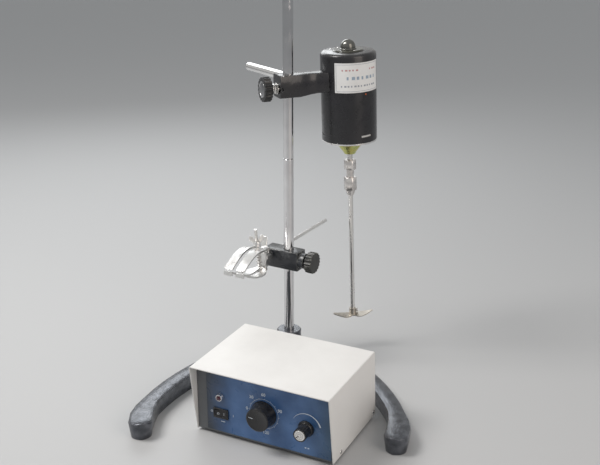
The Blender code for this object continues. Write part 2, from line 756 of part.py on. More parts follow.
def make_box(box):
    cover = box_shape(
        "box_cover", BOX_WIDTH / 2, (-VISOR_REACH, 0), (BOX_DEPTH, BOX_DEPTH + BACK_LEAN), 0, BOX_HEIGHT,
        ((1, 0, 0), (-1, 0, 0), (0, 0, 1)), WHITE_POWDER, box,
    )
    bent(cover)
    inside = BOX_WIDTH / 2 - SHEET - SEAT_GAP
    ceiling = BOX_HEIGHT - SHEET - 3 * SEAT_GAP
    front = PLATE_THICKNESS + SEAT_GAP
    back = BOX_DEPTH - BACK_RECESS
    chassis = box_shape(
        "box_chassis", inside, (front, front), (back, back + BACK_LEAN), 0, ceiling,
        ((0, -1, 0), (0, 1, 0), (0, 0, -1)), GREY_SHEET, box,
    )
    lips = edges_at_height(chassis.data, ceiling)
    work = bmesh.new()
    work.from_mesh(chassis.data)
    work.edges.ensure_lookup_table()
    for index, inward in lips:
        out = bmesh.ops.extrude_edge_only(work, edges=[work.edges[index]])
        new = [item for item in out["geom"] if isinstance(item, bmesh.types.BMVert)]
        bmesh.ops.translate(work, verts=new, vec=(0, inward * CHASSIS_LIP, 0))
        work.edges.ensure_lookup_table()
    bmesh.ops.recalc_face_normals(work, faces=work.faces)
    floor = min(work.faces, key=lambda face: face.calc_center_median().z)
    if floor.normal.z > 0:
        bmesh.ops.reverse_faces(work, faces=work.faces)
    work.to_mesh(chassis.data)
    work.free()
    bent(chassis)
    plate_low = (PLATE_LEFT_MARGIN - BOX_WIDTH / 2, 0, PLATE_BOTTOM_MARGIN)
    plate_high = (BOX_WIDTH / 2 - PLATE_RIGHT_MARGIN, PLATE_THICKNESS, ceiling - PLATE_TOP_MARGIN)
    front_plate = block("front_plate", plate_low, plate_high, BLUE_PRINT, box)
    lamp_hole = panel_hole("lamp_hole_tool", LAMP_RADIUS + LAMP_WALL + SEAT_GAP, LAMP_X, LAMP_Z, box)
    timer_hole = panel_hole("timer_hole_tool", BUSH_RADIUS + SEAT_GAP, TIMER_X, TIMER_Z, box)
    speed_hole = panel_hole("speed_hole_tool", BUSH_RADIUS + SEAT_GAP, SPEED_X, SPEED_Z, box)
    half_x = SWITCH_WIDTH / 2 - SWITCH_INSET + SEAT_GAP
    half_z = SWITCH_HEIGHT / 2 - SWITCH_INSET + SEAT_GAP
    switch_hole = block(
        "switch_hole_tool", (-half_x, -OVERRUN, -half_z), (half_x, SHEET + OVERRUN, half_z), STEEL,
        box, (SWITCH_X, 0, SWITCH_Z),
    )
    cut(front_plate, lamp_hole, timer_hole, speed_hole, switch_hole)
    cut(chassis, lamp_hole, timer_hole, speed_hole, switch_hole)
    for x_sign in (-1, 1):
        for y_sign, where in ((-1, "front"), (1, "back")):
            side = "left" if x_sign < 0 else "right"
            middle = (BOX_DEPTH + BACK_LEAN - BACK_RECESS + front) / 2
            reach = (BOX_DEPTH + BACK_LEAN - BACK_RECESS - front) / 2 - RUBBER_INSET
            spot = (x_sign * (inside - RUBBER_INSET), middle + y_sign * reach, -SEAT_GAP)
            profile = [
                (0, 0),
                (RUBBER_RADIUS, 0),
                (RUBBER_RADIUS - RUBBER_TAPER, SEAT_GAP - FOOT_HEIGHT),
                (0, SEAT_GAP - FOOT_HEIGHT),
            ]
            turned(f"rubber_foot_{where}_{side}", profile, RUBBER, box, spot, sides=SMALL_SEGMENTS)
    return chassis


def edges_at_height(mesh, height):
    """The edges along a bent sheet's top, each with the direction that its lip turns in."""
    found = []
    for edge in mesh.edges:
        ends = [mesh.vertices[i].co for i in edge.vertices]
        if all(abs(end.z - height) < MERGE for end in ends) and abs(ends[0].y - ends[1].y) < MERGE:
            found.append((edge.index, -1 if ends[0].y > BOX_DEPTH / 2 else 1))
    return found


def make_lamp(box):
    body = LAMP_RADIUS + LAMP_WALL
    floor = -LAMP_WALL
    bezel = [
        (0, floor),
        (LAMP_RADIUS, floor),
        (LAMP_RADIUS, LAMP_BEZEL_REACH),
        (body, LAMP_BEZEL_REACH),
        (LAMP_BEZEL_RADIUS, LAMP_BEZEL_REACH / 3),
        (LAMP_BEZEL_RADIUS, SEAT_GAP),
        (body, SEAT_GAP),
        (body, -LAMP_BODY_LENGTH),
        (0, -LAMP_BODY_LENGTH),
    ]
    turned("lamp_bezel", bezel, CHROME, box, (LAMP_X, 0, LAMP_Z), TO_FRONT, sides=SMALL_SEGMENTS)
    glass = LAMP_RADIUS - SEAT_GAP
    rise = LAMP_REACH - LAMP_BEZEL_REACH
    dome = [
        (glass * math.sin(angle), LAMP_BEZEL_REACH + rise * math.cos(angle))
        for angle in (math.pi / 2 * i / EDGE_STEPS for i in range(EDGE_STEPS + 1))
    ]
    lens = [*dome, (glass, floor + SEAT_GAP), (0, floor + SEAT_GAP)]
    turned("lamp_lens", lens, LENS, box, (LAMP_X, 0, LAMP_Z), TO_FRONT, sides=SMALL_SEGMENTS)


def make_switch(box):
    half_x = SWITCH_WIDTH / 2
    half_z = SWITCH_HEIGHT / 2
    spot = (SWITCH_X, 0, SWITCH_Z)
    front = -SEAT_GAP - SWITCH_PROUD
    frame = block(
        "switch_frame", (-half_x, front, -half_z), (half_x, -SEAT_GAP, half_z), BLACK_PLASTIC, box, spot
    )
    rounded(frame, SWITCH_EDGE)
    inner_x = half_x - SWITCH_INSET
    inner_z = half_z - SWITCH_INSET
    body = block(
        "switch_body_form", (-inner_x, front / 2, -inner_z), (inner_x, SWITCH_BODY_DEPTH, inner_z),
        BLACK_PLASTIC, box, spot,
    )
    fuse(frame, body)
    open_x = half_x - SWITCH_RIM
    open_z = half_z - SWITCH_RIM
    floor = ROCKER_PIN_DEPTH + ROCKER_DEPTH
    opening = block(
        "switch_opening_tool", (-open_x, front - OVERRUN, -open_z), (open_x, floor, open_z), STEEL, box, spot
    )
    axle = (SWITCH_X, ROCKER_PIN_DEPTH, SWITCH_Z)
    pin_hole = cylinder(
        "switch_pin_tool", ROCKER_PIN_RADIUS + RUN_GAP, -half_z, half_z, STEEL, box, axle,
    )
    cut(frame, opening, pin_hole)
    high = ROCKER_PIN_DEPTH + ROCKER_PROUD
    lower_half = open_x - ROCKER_SIDE_GAP
    upper_half = (open_x - RUN_GAP - high * math.sin(ROCKER_TILT)) / math.cos(ROCKER_TILT)
    outline = [
        (-lower_half, ROCKER_DEPTH / 2),
        (-lower_half, 0),
        (-upper_half, -high),
        (0, ROCKER_SAG - high),
        (upper_half, -high),
        (lower_half, 0),
        (lower_half, ROCKER_DEPTH / 2),
    ]
    height = 2 * (open_z - RUN_GAP)
    rocker = plate(
        "switch_rocker", [outline], height, BLACK_PLASTIC, box, axle, (0, 0, ROCKER_TILT)
    )
    reach = inner_z - SEAT_GAP
    pin = cylinder(
        "rocker_pin_form", ROCKER_PIN_RADIUS, -reach, reach, BLACK_PLASTIC, box, axle, (0, 0, ROCKER_TILT)
    )
    fuse(rocker, pin)


def spindle_works(prefix, radius, depth, box, spot):
    """The can behind the panel, with the threaded bush that holds it and the spindle that it turns on."""
    back = PLATE_THICKNESS + SHEET + 2 * SEAT_GAP
    bore = SPINDLE_RADIUS + RUN_GAP
    floor = -back - depth / 2
    can = [
        (0, floor),
        (bore, floor),
        (bore, 0),
        (BUSH_RADIUS, 0),
        (BUSH_RADIUS, -back),
        (radius, -back),
        (radius, -back - depth),
        (0, -back - depth),
    ]
    turned(prefix[0], can, STEEL, box, spot, TO_FRONT, sides=ROUND_SEGMENTS)
    top = KNOB_LIFT + SPINDLE_SOCKET
    spindle = [
        (0, top),
        (SPINDLE_RADIUS, top),
        (SPINDLE_RADIUS, floor + SEAT_GAP),
        (0, floor + SEAT_GAP),
    ]
    turned(prefix[1], spindle, STEEL, box, spot, TO_FRONT, sides=SMALL_SEGMENTS)


def make_timer(box):
    spot = (TIMER_X, 0, TIMER_Z)
    spindle_works(("timer_body", "timer_spindle"), TIMER_BODY_RADIUS, TIMER_BODY_DEPTH, box, spot)
    bore = SPINDLE_RADIUS + SEAT_GAP
    socket = KNOB_LIFT + SPINDLE_SOCKET + SEAT_GAP
    grip = TIMER_KNOB_RADIUS - TIMER_EDGE
    knob = [
        (0, TIMER_KNOB_DEPTH - TIMER_DISH),
        (grip - TIMER_TAPER - 2 * TIMER_EDGE, TIMER_KNOB_DEPTH - TIMER_DISH),
        (grip - TIMER_TAPER - TIMER_EDGE, TIMER_KNOB_DEPTH),
        (grip - TIMER_TAPER, TIMER_KNOB_DEPTH - TIMER_EDGE / 2),
        (grip, TIMER_SKIRT_DEPTH + TIMER_EDGE),
        (TIMER_KNOB_RADIUS - TIMER_EDGE / 3, TIMER_SKIRT_DEPTH),
        (TIMER_KNOB_RADIUS, KNOB_LIFT),
        (bore, KNOB_LIFT),
        (bore, socket),
        (0, socket),
    ]
    turned("timer_knob", knob, BLACK_PLASTIC, box, spot, TO_FRONT, sides=ROUND_SEGMENTS + 4)


def fluted_outline(radius, flutes, depth, steps):
    """A knob's grip in plan: shallow hollows between rounded ribs."""
    points = []
    for i in range(flutes * steps):
        angle = 2 * math.pi * i / (flutes * steps)
        hollow = (1 - math.cos(flutes * angle)) / 2
        reach = radius - depth * hollow**2
        points.append((reach * math.cos(angle), reach * math.sin(angle)))
    return points


def make_speed_knob(box):
    spot = (SPEED_X, 0, SPEED_Z)
    spindle_works(("speed_control_body", "speed_spindle"), SPEED_BODY_RADIUS, SPEED_BODY_DEPTH, box, spot)
    length = SPEED_KNOB_DEPTH - SPEED_SKIRT_DEPTH
    outline = fluted_outline(SPEED_KNOB_RADIUS, SPEED_FLUTES, SPEED_FLUTE_DEPTH, FLUTE_STEPS)
    centre = (SPEED_X, -SPEED_KNOB_DEPTH + length / 2, SPEED_Z)
    knob = plate("speed_knob", [outline], length, BLACK_PLASTIC, box, centre, TO_FRONT)
    rounded(knob, SPEED_FLUTE_DEPTH, 1)
    skirt_profile = [
        (0, SPEED_SKIRT_DEPTH + SPEED_FLUTE_DEPTH),
        (SPEED_KNOB_RADIUS + SPEED_FLUTE_DEPTH / 2, SPEED_SKIRT_DEPTH + SPEED_FLUTE_DEPTH),
        (SPEED_SKIRT_RADIUS, SPEED_SKIRT_DEPTH / 2),
        (SPEED_SKIRT_RADIUS, KNOB_LIFT),
        (0, KNOB_LIFT),
    ]
    skirt = turned("speed_skirt_form", skirt_profile, BLACK_PLASTIC, box, spot, TO_FRONT)
    fuse(knob, skirt)
    bore = cylinder(
        "speed_bore_tool", SPINDLE_RADIUS + SEAT_GAP, KNOB_LIFT - OVERRUN,
        KNOB_LIFT + SPINDLE_SOCKET + SEAT_GAP, STEEL, box, spot, TO_FRONT,
    )
    recess = cylinder(
        "speed_recess_tool", SPEED_CAP_RADIUS + SEAT_GAP, SPEED_KNOB_DEPTH - SPEED_CAP_THICKNESS,
        SPEED_KNOB_DEPTH + OVERRUN, STEEL, box, spot, TO_FRONT, sides=ROUND_SEGMENTS,
    )
    cut(knob, bore, recess)
    cap = [
        (0, SPEED_KNOB_DEPTH + SEAT_GAP),
        (SPEED_CAP_RADIUS - SEAT_GAP, SPEED_KNOB_DEPTH + SEAT_GAP),
        (SPEED_CAP_RADIUS, SPEED_KNOB_DEPTH),
        (SPEED_CAP_RADIUS, SPEED_KNOB_DEPTH - SPEED_CAP_THICKNESS + SEAT_GAP),
        (0, SPEED_KNOB_DEPTH - SPEED_CAP_THICKNESS + SEAT_GAP),
    ]
    turned("speed_knob_cap", cap, NICKEL, box, spot, TO_FRONT)


def make_electronics(box):
    floor = SHEET + SEAT_GAP
    half_x = BOARD_WIDTH / 2
    half_y = BOARD_DEPTH / 2
    low = floor + BOARD_PILLAR_HEIGHT
    board = block(
        "circuit_board", (-half_x, -half_y, low), (half_x, half_y, low + BOARD_THICKNESS), BOARD_GREEN,
        box, (0, BOARD_Y, 0),
    )
    for i, x_sign in enumerate((-1, 1)):
        for j, y_sign in enumerate((-1, 1)):
            spot = (
                x_sign * (half_x - BOARD_PILLAR_INSET),
                BOARD_Y + y_sign * (half_y - BOARD_PILLAR_INSET),
                0,
            )
            pillar = cylinder(
                f"board_pillar_form_{i}{j}", BOARD_PILLAR_RADIUS, floor, low + BOARD_THICKNESS / 2,
                BOARD_GREEN, box, spot, sides=HEX_SIDES,
            )
            fuse(board, pillar)
    top = low + BOARD_THICKNESS + SEAT_GAP
    core_x = TRANSFORMER_WIDTH / 2
    core_y = TRANSFORMER_DEPTH / 2
    transformer = block(
        "transformer", (-core_x, -core_y, top), (core_x, core_y, top + TRANSFORMER_HEIGHT), LAMINATED,
        box, (TRANSFORMER_X, BOARD_Y, 0),
    )
    coil_rise = TRANSFORMER_HEIGHT / 5
    coil = block(
        "transformer_coil_form", (-core_x / 2, -core_y - coil_rise, top + coil_rise),
        (core_x / 2, core_y + coil_rise, top + TRANSFORMER_HEIGHT - coil_rise), COPPER,
        box, (TRANSFORMER_X, BOARD_Y, 0),
    )
    rounded(coil, coil_rise / 2)
    fuse(transformer, coil)


def back_fitting(name, flange, body, reach, mouth, mouth_depth, material, x, box, chassis, inner, sides):
    """A round fitting pushed through the chassis back, its mouth open to the rear."""
    lean = math.atan2(BACK_LEAN, BOX_HEIGHT)
    y = BOX_DEPTH - BACK_RECESS + BACK_LEAN * (BOX_HEIGHT - BACK_FITTING_Z) / BOX_HEIGHT
    axis = carrier(name + "_axis", box, (x, y, BACK_FITTING_Z), (lean - math.pi / 2, 0, 0))
    bottom = reach - mouth_depth
    profile = [
        (0, bottom),
        (mouth, bottom),
        (mouth, reach),
        (body, reach),
        (body, FITTING_FLANGE),
        (flange, FITTING_FLANGE),
        (flange, SEAT_GAP),
        (body, SEAT_GAP),
        (body, -inner),
        (0, -inner),
    ]
    turned(name, profile, material, axis, sides=sides)
    hole = cylinder(
        name + "_hole_tool", body + SEAT_GAP, -SHEET - OVERRUN, OVERRUN, STEEL, axis, sides=ROUND_SEGMENTS
    )
    cut(chassis, hole)


def make_back_fittings(box, chassis):
    back_fitting(
        "mains_cord_gland", GLAND_RADIUS, GLAND_BODY_RADIUS, GLAND_REACH, GLAND_BORE,
        GLAND_REACH, BLACK_PLASTIC, MAINS_GLAND_X, box, chassis, FITTING_INNER_REACH, SMALL_SEGMENTS,
    )
    back_fitting(
        "fuse_holder", FUSE_RADIUS, FUSE_BODY_RADIUS, FUSE_REACH, GLAND_BORE, FITTING_FLANGE,
        BLACK_PLASTIC, FUSE_X, box, chassis, FUSE_LENGTH, SMALL_SEGMENTS,
    )
    back_fitting(
        "motor_lead_socket", SOCKET_RADIUS, SOCKET_BODY_RADIUS, SOCKET_REACH,
        SOCKET_BODY_RADIUS - FITTING_FLANGE / 2, SOCKET_RECESS, NICKEL, MOTOR_SOCKET_X, box, chassis,
        FITTING_INNER_REACH, SMALL_SEGMENTS,
    )


# Fluted lock knobs, on the motor bracket and on the boss head


def lock_knob(prefix, axis, radius, standoff, stud_reach, capped):
    """A knob on its stud, with a bright cap or plain; +Z of the axis points out of the casting."""
    top = standoff + LOCK_KNOB_LENGTH
    outline = fluted_outline(radius, LOCK_KNOB_FLUTES, LOCK_KNOB_FLUTE_DEPTH, FLUTE_STEPS)
    middle = (0, 0, (standoff + top) / 2)
    knob = plate(prefix + "_knob", [outline], LOCK_KNOB_LENGTH, BLACK_PLASTIC, axis, middle)
    rounded(knob, LOCK_KNOB_EDGE, 1)
    neck = cylinder(
        prefix + "_knob_neck_form", LOCK_KNOB_NECK_RADIUS, standoff - LOCK_KNOB_NECK_LENGTH,
        (standoff + top) / 2, BLACK_PLASTIC, axis,
    )
    fuse(knob, neck)
    stud_top = (standoff + top) / 2
    bore = cylinder(
        prefix + "_stud_tool", LOCK_STUD_RADIUS + SEAT_GAP, -OVERRUN, stud_top + SEAT_GAP, STEEL, axis
    )
    cut(knob, bore)
    chamfer = LOCK_STUD_RADIUS / 5
    stud = [
        (0, stud_top),
        (LOCK_STUD_RADIUS, stud_top),
        (LOCK_STUD_RADIUS, chamfer - stud_reach),
        (LOCK_STUD_RADIUS - chamfer, -stud_reach),
        (0, -stud_reach),
    ]
    turned(prefix + "_stud", stud, STEEL, axis, sides=SMALL_SEGMENTS)
    if not capped:
        return
    recess = cylinder(
        prefix + "_cap_tool", LOCK_CAP_RADIUS + SEAT_GAP, top - LOCK_CAP_THICKNESS, top + OVERRUN, STEEL,
        axis, sides=ROUND_SEGMENTS,
    )
    cut(knob, recess)
    floor = top - LOCK_CAP_THICKNESS + SEAT_GAP
    inner = LOCK_CAP_RADIUS - LOCK_CAP_RIM
    cap = [
        (0, floor + LOCK_CAP_THICKNESS),
        (inner / 2, floor + LOCK_CAP_THICKNESS),
        (inner, floor + LOCK_CAP_THICKNESS / 2),
        (inner + LOCK_CAP_RIM / 3, floor + LOCK_CAP_THICKNESS),
        (LOCK_CAP_RADIUS, floor + LOCK_CAP_THICKNESS),
        (LOCK_CAP_RADIUS, floor),
        (0, floor),
    ]
    turned(prefix + "_knob_cap", cap, CHROME, axis)


# Motor bracket and motor


def make_bracket(bracket, motor_line):
    saddle = MOTOR_OFFSET - MOTOR_RADIUS
    stations = [(-BRACKET_END, 1, 0)]
    stations += [
        (saddle * reach, width, rise)
        for reach, width, rise in zip(BRACKET_REACH_SHARES, BRACKET_WIDTH_SHARES, BRACKET_RISE_SHARES)
    ]
    along = Vector((1, 0, 0))
    half = BRACKET_DEPTH / 2
    rings = [
        section(
            Vector((x, 0, 0)), along, BRACKET_HALF_WIDTH * width, BRACKET_HALF_WIDTH * width,
            BRACKET_DEPTH * rise - half, half, BRACKET_EDGE, BRACKET_EDGE,
        )
        for x, width, rise in stations
    ]
    casting = loft("motor_bracket", rings, BLACK_ENAMEL, bracket)
    rod_bore = cylinder(
        "bracket_bore_tool", ROD_RADIUS + BRACKET_BORE_GAP, -half - OVERRUN, half + OVERRUN, STEEL,
        bracket, sides=ROUND_SEGMENTS,
    )
    motor_bore = cylinder(
        "bracket_saddle_tool", MOTOR_RADIUS + SEAT_GAP, -half - OVERRUN, half + OVERRUN, STEEL,
        motor_line, sides=2 * ROUND_SEGMENTS,
    )
    notch_outline = [
        (-BRACKET_END - OVERRUN, -BRACKET_NOTCH_HEIGHT / 2),
        (-BRACKET_END, -BRACKET_NOTCH_HEIGHT / 2),
        (BRACKET_NOTCH_DEPTH - BRACKET_END, 0),
        (-BRACKET_END, BRACKET_NOTCH_HEIGHT / 2),
        (-BRACKET_END - OVERRUN, BRACKET_NOTCH_HEIGHT / 2),
    ]
    notch = plate(
        "bracket_notch_tool", [notch_outline], 2 * BRACKET_HALF_WIDTH + OVERRUN, STEEL, bracket,
        (0, 0, -KNOB_AXIS_DROP), TO_FRONT,
    )
    stud_hole = cylinder(
        "bracket_stud_tool", LOCK_STUD_RADIUS + SEAT_GAP, 0, BRACKET_END + OVERRUN, STEEL, bracket,
        (0, 0, -KNOB_AXIS_DROP), TO_LEFT,
    )
    aside = ROD_RADIUS + BRACKET_BORE_GAP + GRIP_BAR_WALL + SEAT_GAP + GRIP_BAR_RADIUS
    foot = (aside * math.sin(GRIP_BAR_TURN), -aside * math.cos(GRIP_BAR_TURN), GRIP_BAR_RISE)
    bar_axis = carrier("grip_bar_axis", bracket, foot, (math.pi / 2, 0, GRIP_BAR_TURN + math.pi / 2))
    bar_hole = cylinder(
        "grip_bar_tool", GRIP_BAR_RADIUS + SEAT_GAP, -GRIP_BAR_ROOT - SEAT_GAP, 2 * BRACKET_HALF_WIDTH,
        STEEL, bar_axis,
    )
    cut(casting, rod_bore, motor_bore, notch, stud_hole, bar_hole)
    dome = [
        (
            GRIP_BAR_RADIUS * math.sin(angle),
            GRIP_BAR_REACH - GRIP_BAR_RADIUS + GRIP_BAR_RADIUS * math.cos(angle),
        )
        for angle in (math.pi / 2 * i / DOME_STEPS for i in range(DOME_STEPS + 1))
    ]
    bar = [*dome, (GRIP_BAR_RADIUS, -GRIP_BAR_ROOT), (0, -GRIP_BAR_ROOT)]
    turned("grip_bar", bar, STEEL, bar_axis, sides=SMALL_SEGMENTS + 4)
    knob_axis = carrier("bracket_lock_axis", bracket, (-BRACKET_END, 0, -KNOB_AXIS_DROP), TO_LEFT)
    lock_knob(
        "bracket_lock", knob_axis, BRACKET_KNOB_RADIUS, BRACKET_KNOB_STANDOFF,
        BRACKET_END - ROD_RADIUS - SEAT_GAP, True,
    )


def make_motor_housing(motor):
    inner = MOTOR_RADIUS - MOTOR_WALL
    ceiling = MOTOR_TOP - MOTOR_WALL
    seat = BEARING_RADIUS + SEAT_GAP
    seat_wall = seat + MOTOR_WALL
    seat_low = ceiling - BEARING_WIDTH
    corner = (MOTOR_RADIUS - MOTOR_SHOULDER, MOTOR_TOP - MOTOR_SHOULDER)
    shoulder = circle_points(MOTOR_SHOULDER, SHOULDER_STEPS + 1, corner, math.pi / 2, -math.pi / 2)
    casing = [
        (0, MOTOR_TOP),
        *shoulder,
        (MOTOR_RADIUS, MOTOR_BOTTOM),
        (inner, MOTOR_BOTTOM),
        (inner, ceiling - MOTOR_WALL),
        (inner - MOTOR_WALL, ceiling),
        (seat_wall, ceiling),
        (seat_wall, seat_low),
        (seat, seat_low),
        (seat, ceiling),
        (0, ceiling),
    ]
    shell_piece = turned("motor_casing", casing, BLACK_ENAMEL, motor, sides=ROUND_SEGMENTS + 4)
    for i in range(VENT_COUNT):
        turn = VENT_START + 2 * math.pi * i / VENT_COUNT
        height = MOTOR_BOTTOM + VENT_RISE
        vent = block(
            f"vent_tool_{i}", (inner - 2 * MOTOR_WALL, -VENT_LENGTH / 2, height - VENT_HEIGHT / 2),
            (MOTOR_RADIUS + OVERRUN, VENT_LENGTH / 2, height + VENT_HEIGHT / 2), STEEL, motor,
            turn=(0, 0, turn),
        )
        cut(shell_piece, vent)
    disc = [
        (0, MOTOR_TOP + SEAT_GAP + TOP_DISC_THICKNESS),
        (TOP_DISC_RADIUS - TOP_DISC_THICKNESS, MOTOR_TOP + SEAT_GAP + TOP_DISC_THICKNESS),
        (TOP_DISC_RADIUS, MOTOR_TOP + SEAT_GAP),
        (0, MOTOR_TOP + SEAT_GAP),
    ]
    turned("motor_top_disc", disc, BLACK_ENAMEL, motor)
    dome_low = MOTOR_TOP + TOP_DISC_THICKNESS + 2 * SEAT_GAP
    dome_rise = TOP_DOME_HEIGHT - TOP_DOME_SKIRT
    dome = [
        (
            TOP_DOME_RADIUS * math.sin(angle),
            dome_low + TOP_DOME_SKIRT + dome_rise * math.cos(angle),
        )
        for angle in (math.pi / 2 * i / DOME_STEPS for i in range(DOME_STEPS + 1))
    ]
    flare = [
        (TOP_DOME_RADIUS, dome_low + TOP_DOME_FLARE),
        (TOP_DOME_RADIUS + TOP_DOME_FLARE, dome_low),
        (0, dome_low),
    ]
    turned("motor_dome_cap", [*dome, *flare], CAST_GREY, motor)
    plate_top = MOTOR_BOTTOM - SEAT_GAP
    plate_low = plate_top - END_PLATE_THICKNESS
    hub = BEARING_RADIUS + SEAT_GAP + BEARING_CAGE_LIP
    spigot = inner - SEAT_GAP
    end_plate = [
        (spigot, plate_top + END_PLATE_THICKNESS),
        (spigot, plate_top),
        (MOTOR_RADIUS, plate_top),
        (MOTOR_RADIUS, plate_low),
        (hub + SEAT_GAP, plate_low),
        (hub + SEAT_GAP, plate_top + END_PLATE_THICKNESS),
    ]
    turned("motor_end_plate", end_plate, STEEL, motor, ring=True)
    flange_top = plate_low - SEAT_GAP
    tip = flange_top - BEARING_CONE_LENGTH
    bore = MOTOR_SHAFT_RADIUS + RUN_GAP
    bearing_floor = flange_top - BEARING_CAGE_LIP
    housing = [
        (hub, bearing_floor + BEARING_WIDTH),
        (hub, flange_top),
        (BEARING_CONE_RADIUS, flange_top),
        (BEARING_CONE_RADIUS, flange_top - BEARING_CONE_SKIRT / 3),
        (BEARING_CONE_RADIUS - BEARING_CONE_SKIRT / 3, flange_top - BEARING_CONE_SKIRT),
        (BEARING_CONE_TIP + BEARING_CAGE_LIP, tip + 2 * BEARING_CAGE_LIP),
        (BEARING_CONE_TIP, tip),
        (bore, tip),
        (bore, bearing_floor),
        (hub - BEARING_CAGE_LIP, bearing_floor),
        (hub - BEARING_CAGE_LIP, bearing_floor + BEARING_WIDTH),
    ]
    turned("bearing_housing", housing, YELLOW_PLATED, motor, ring=True, sides=SMALL_SEGMENTS + 8)
    for name, low in (("lower_bearing", bearing_floor + SEAT_GAP), ("upper_bearing", seat_low)):
        high = low + BEARING_WIDTH - SEAT_GAP
        ring = [(BEARING_RADIUS, high), (BEARING_RADIUS, low), (bore, low), (bore, high)]
        turned(name, ring, STEEL, motor, ring=True, sides=SMALL_SEGMENTS + 4)


def make_motor_works(motor, rotor):
    outer = MOTOR_RADIUS - MOTOR_WALL - SEAT_GAP
    inner = outer - FIELD_RING_WALL
    low = MOTOR_BOTTOM + FIELD_RING_RISE
    high = low + FIELD_RING_LENGTH
    field = [(outer, high), (outer, low), (inner, low), (inner, high)]
    turned("field_magnet_ring", field, LAMINATED, motor, ring=True)
    core = inner - ARMATURE_GAP
    outline = []
    for i in range(ARMATURE_SLOTS):
        pitch = 2 * math.pi / ARMATURE_SLOTS
        start = i * pitch
        slot = ARMATURE_SLOT_SHARE * pitch
        outline += circle_points(core, 3, (0, 0), start, pitch - slot)
        outline += circle_points(core - ARMATURE_SLOT_DEPTH, 2, (0, 0), start + pitch - slot, slot)
    hole = circle_points(MOTOR_SHAFT_RADIUS + SEAT_GAP, SMALL_SEGMENTS)
    plate("armature", [outline, hole], high - low, LAMINATED, rotor, (0, 0, (low + high) / 2))
    comm_low = high + COMMUTATOR_LIFT
    comm_high = comm_low + COMMUTATOR_LENGTH
    bore = MOTOR_SHAFT_RADIUS + SEAT_GAP
    segments = [
        (COMMUTATOR_RADIUS, comm_high),
        (COMMUTATOR_RADIUS, comm_low),
        (bore, comm_low),
        (bore, comm_high),
    ]
    turned("commutator", segments, COPPER, rotor, ring=True, sides=SMALL_SEGMENTS + 4)
    middle = (comm_low + comm_high) / 2
    half = BRUSH_RING_THICKNESS / 2
    wide = COMMUTATOR_RADIUS + RUN_GAP + FIELD_RING_WALL / 2
    ring = [(outer, middle + half), (outer, middle - half), (wide, middle - half), (wide, middle + half)]
    brushes = turned("brush_ring", ring, BLACK_PLASTIC, motor, ring=True)
    for i in range(2):
        box = block(
            f"brush_form_{i}",
            (COMMUTATOR_RADIUS + RUN_GAP, -BRUSH_WIDTH / 2, middle - BRUSH_HEIGHT / 2),
            (wide + FIELD_RING_WALL / 2, BRUSH_WIDTH / 2, middle + BRUSH_HEIGHT / 2),
            BLACK_PLASTIC, motor, turn=(0, 0, i * math.pi),
        )
        fuse(brushes, box)
    top = MOTOR_TOP - MOTOR_WALL - SEAT_GAP
    foot = CHUCK_TOP - SHAFT_SOCKET_DEPTH + SEAT_GAP
    shaft = [(0, top), (MOTOR_SHAFT_RADIUS, top), (MOTOR_SHAFT_RADIUS, foot), (0, foot)]
    turned("motor_shaft", shaft, STEEL, rotor, sides=SMALL_SEGMENTS)


# Coupling, stirring rod and blade


def make_chuck(rotor):
    hex_low = CHUCK_TOP - CHUCK_HEX_LENGTH
    nut_low = CHUCK_NUT_TOP - CHUCK_NUT_LENGTH
    neck_low = nut_low + CHUCK_NOSE_RADIUS
    body = cylinder(
        "chuck_body", CHUCK_HEX_RADIUS, hex_low, CHUCK_TOP, STEEL, rotor, sides=HEX_SIDES
    )
    rounded(body, CHUCK_CHAMFER, 1)
    neck = cylinder(
        "chuck_neck_form", CHUCK_NECK_RADIUS, neck_low, hex_low + CHUCK_HEX_LENGTH / 2, STEEL, rotor
    )
    fuse(body, neck)
    shaft_socket = cylinder(
        "chuck_shaft_tool", MOTOR_SHAFT_RADIUS + SEAT_GAP, CHUCK_TOP - SHAFT_SOCKET_DEPTH,
        CHUCK_TOP + OVERRUN, STEEL, rotor,
    )
    rod_socket = cylinder(
        "chuck_rod_tool", STIRRING_ROD_RADIUS + SEAT_GAP, neck_low - OVERRUN,
        STIRRING_ROD_TOP + SEAT_GAP, STEEL, rotor,
    )
    cut(body, shaft_socket, rod_socket)
    nut = cylinder(
        "chuck_nut", CHUCK_NUT_RADIUS, nut_low, CHUCK_NUT_TOP, STEEL, rotor, sides=HEX_SIDES
    )
    rounded(nut, CHUCK_CHAMFER, 1)
    nose_profile = [
        (0, nut_low + CHUCK_NOSE_RADIUS),
        (CHUCK_NUT_RADIUS - 2 * CHUCK_CHAMFER, nut_low + CHUCK_CHAMFER / 2),
        (CHUCK_NOSE_RADIUS, nut_low - CHUCK_NOSE_LENGTH),
        (0, nut_low - CHUCK_NOSE_LENGTH),
    ]
    nose = turned("chuck_nose_form", nose_profile, STEEL, rotor, sides=SMALL_SEGMENTS)
    fuse(nut, nose)
    thread = cylinder(
        "chuck_thread_tool", CHUCK_NECK_RADIUS + SEAT_GAP, neck_low - SEAT_GAP,
        CHUCK_NUT_TOP + OVERRUN, STEEL, rotor,
    )
    passage = cylinder(
        "chuck_passage_tool", STIRRING_ROD_RADIUS + SEAT_GAP, nut_low - CHUCK_NOSE_LENGTH - OVERRUN,
        neck_low, STEEL, rotor,
    )
    cut(nut, thread, passage)


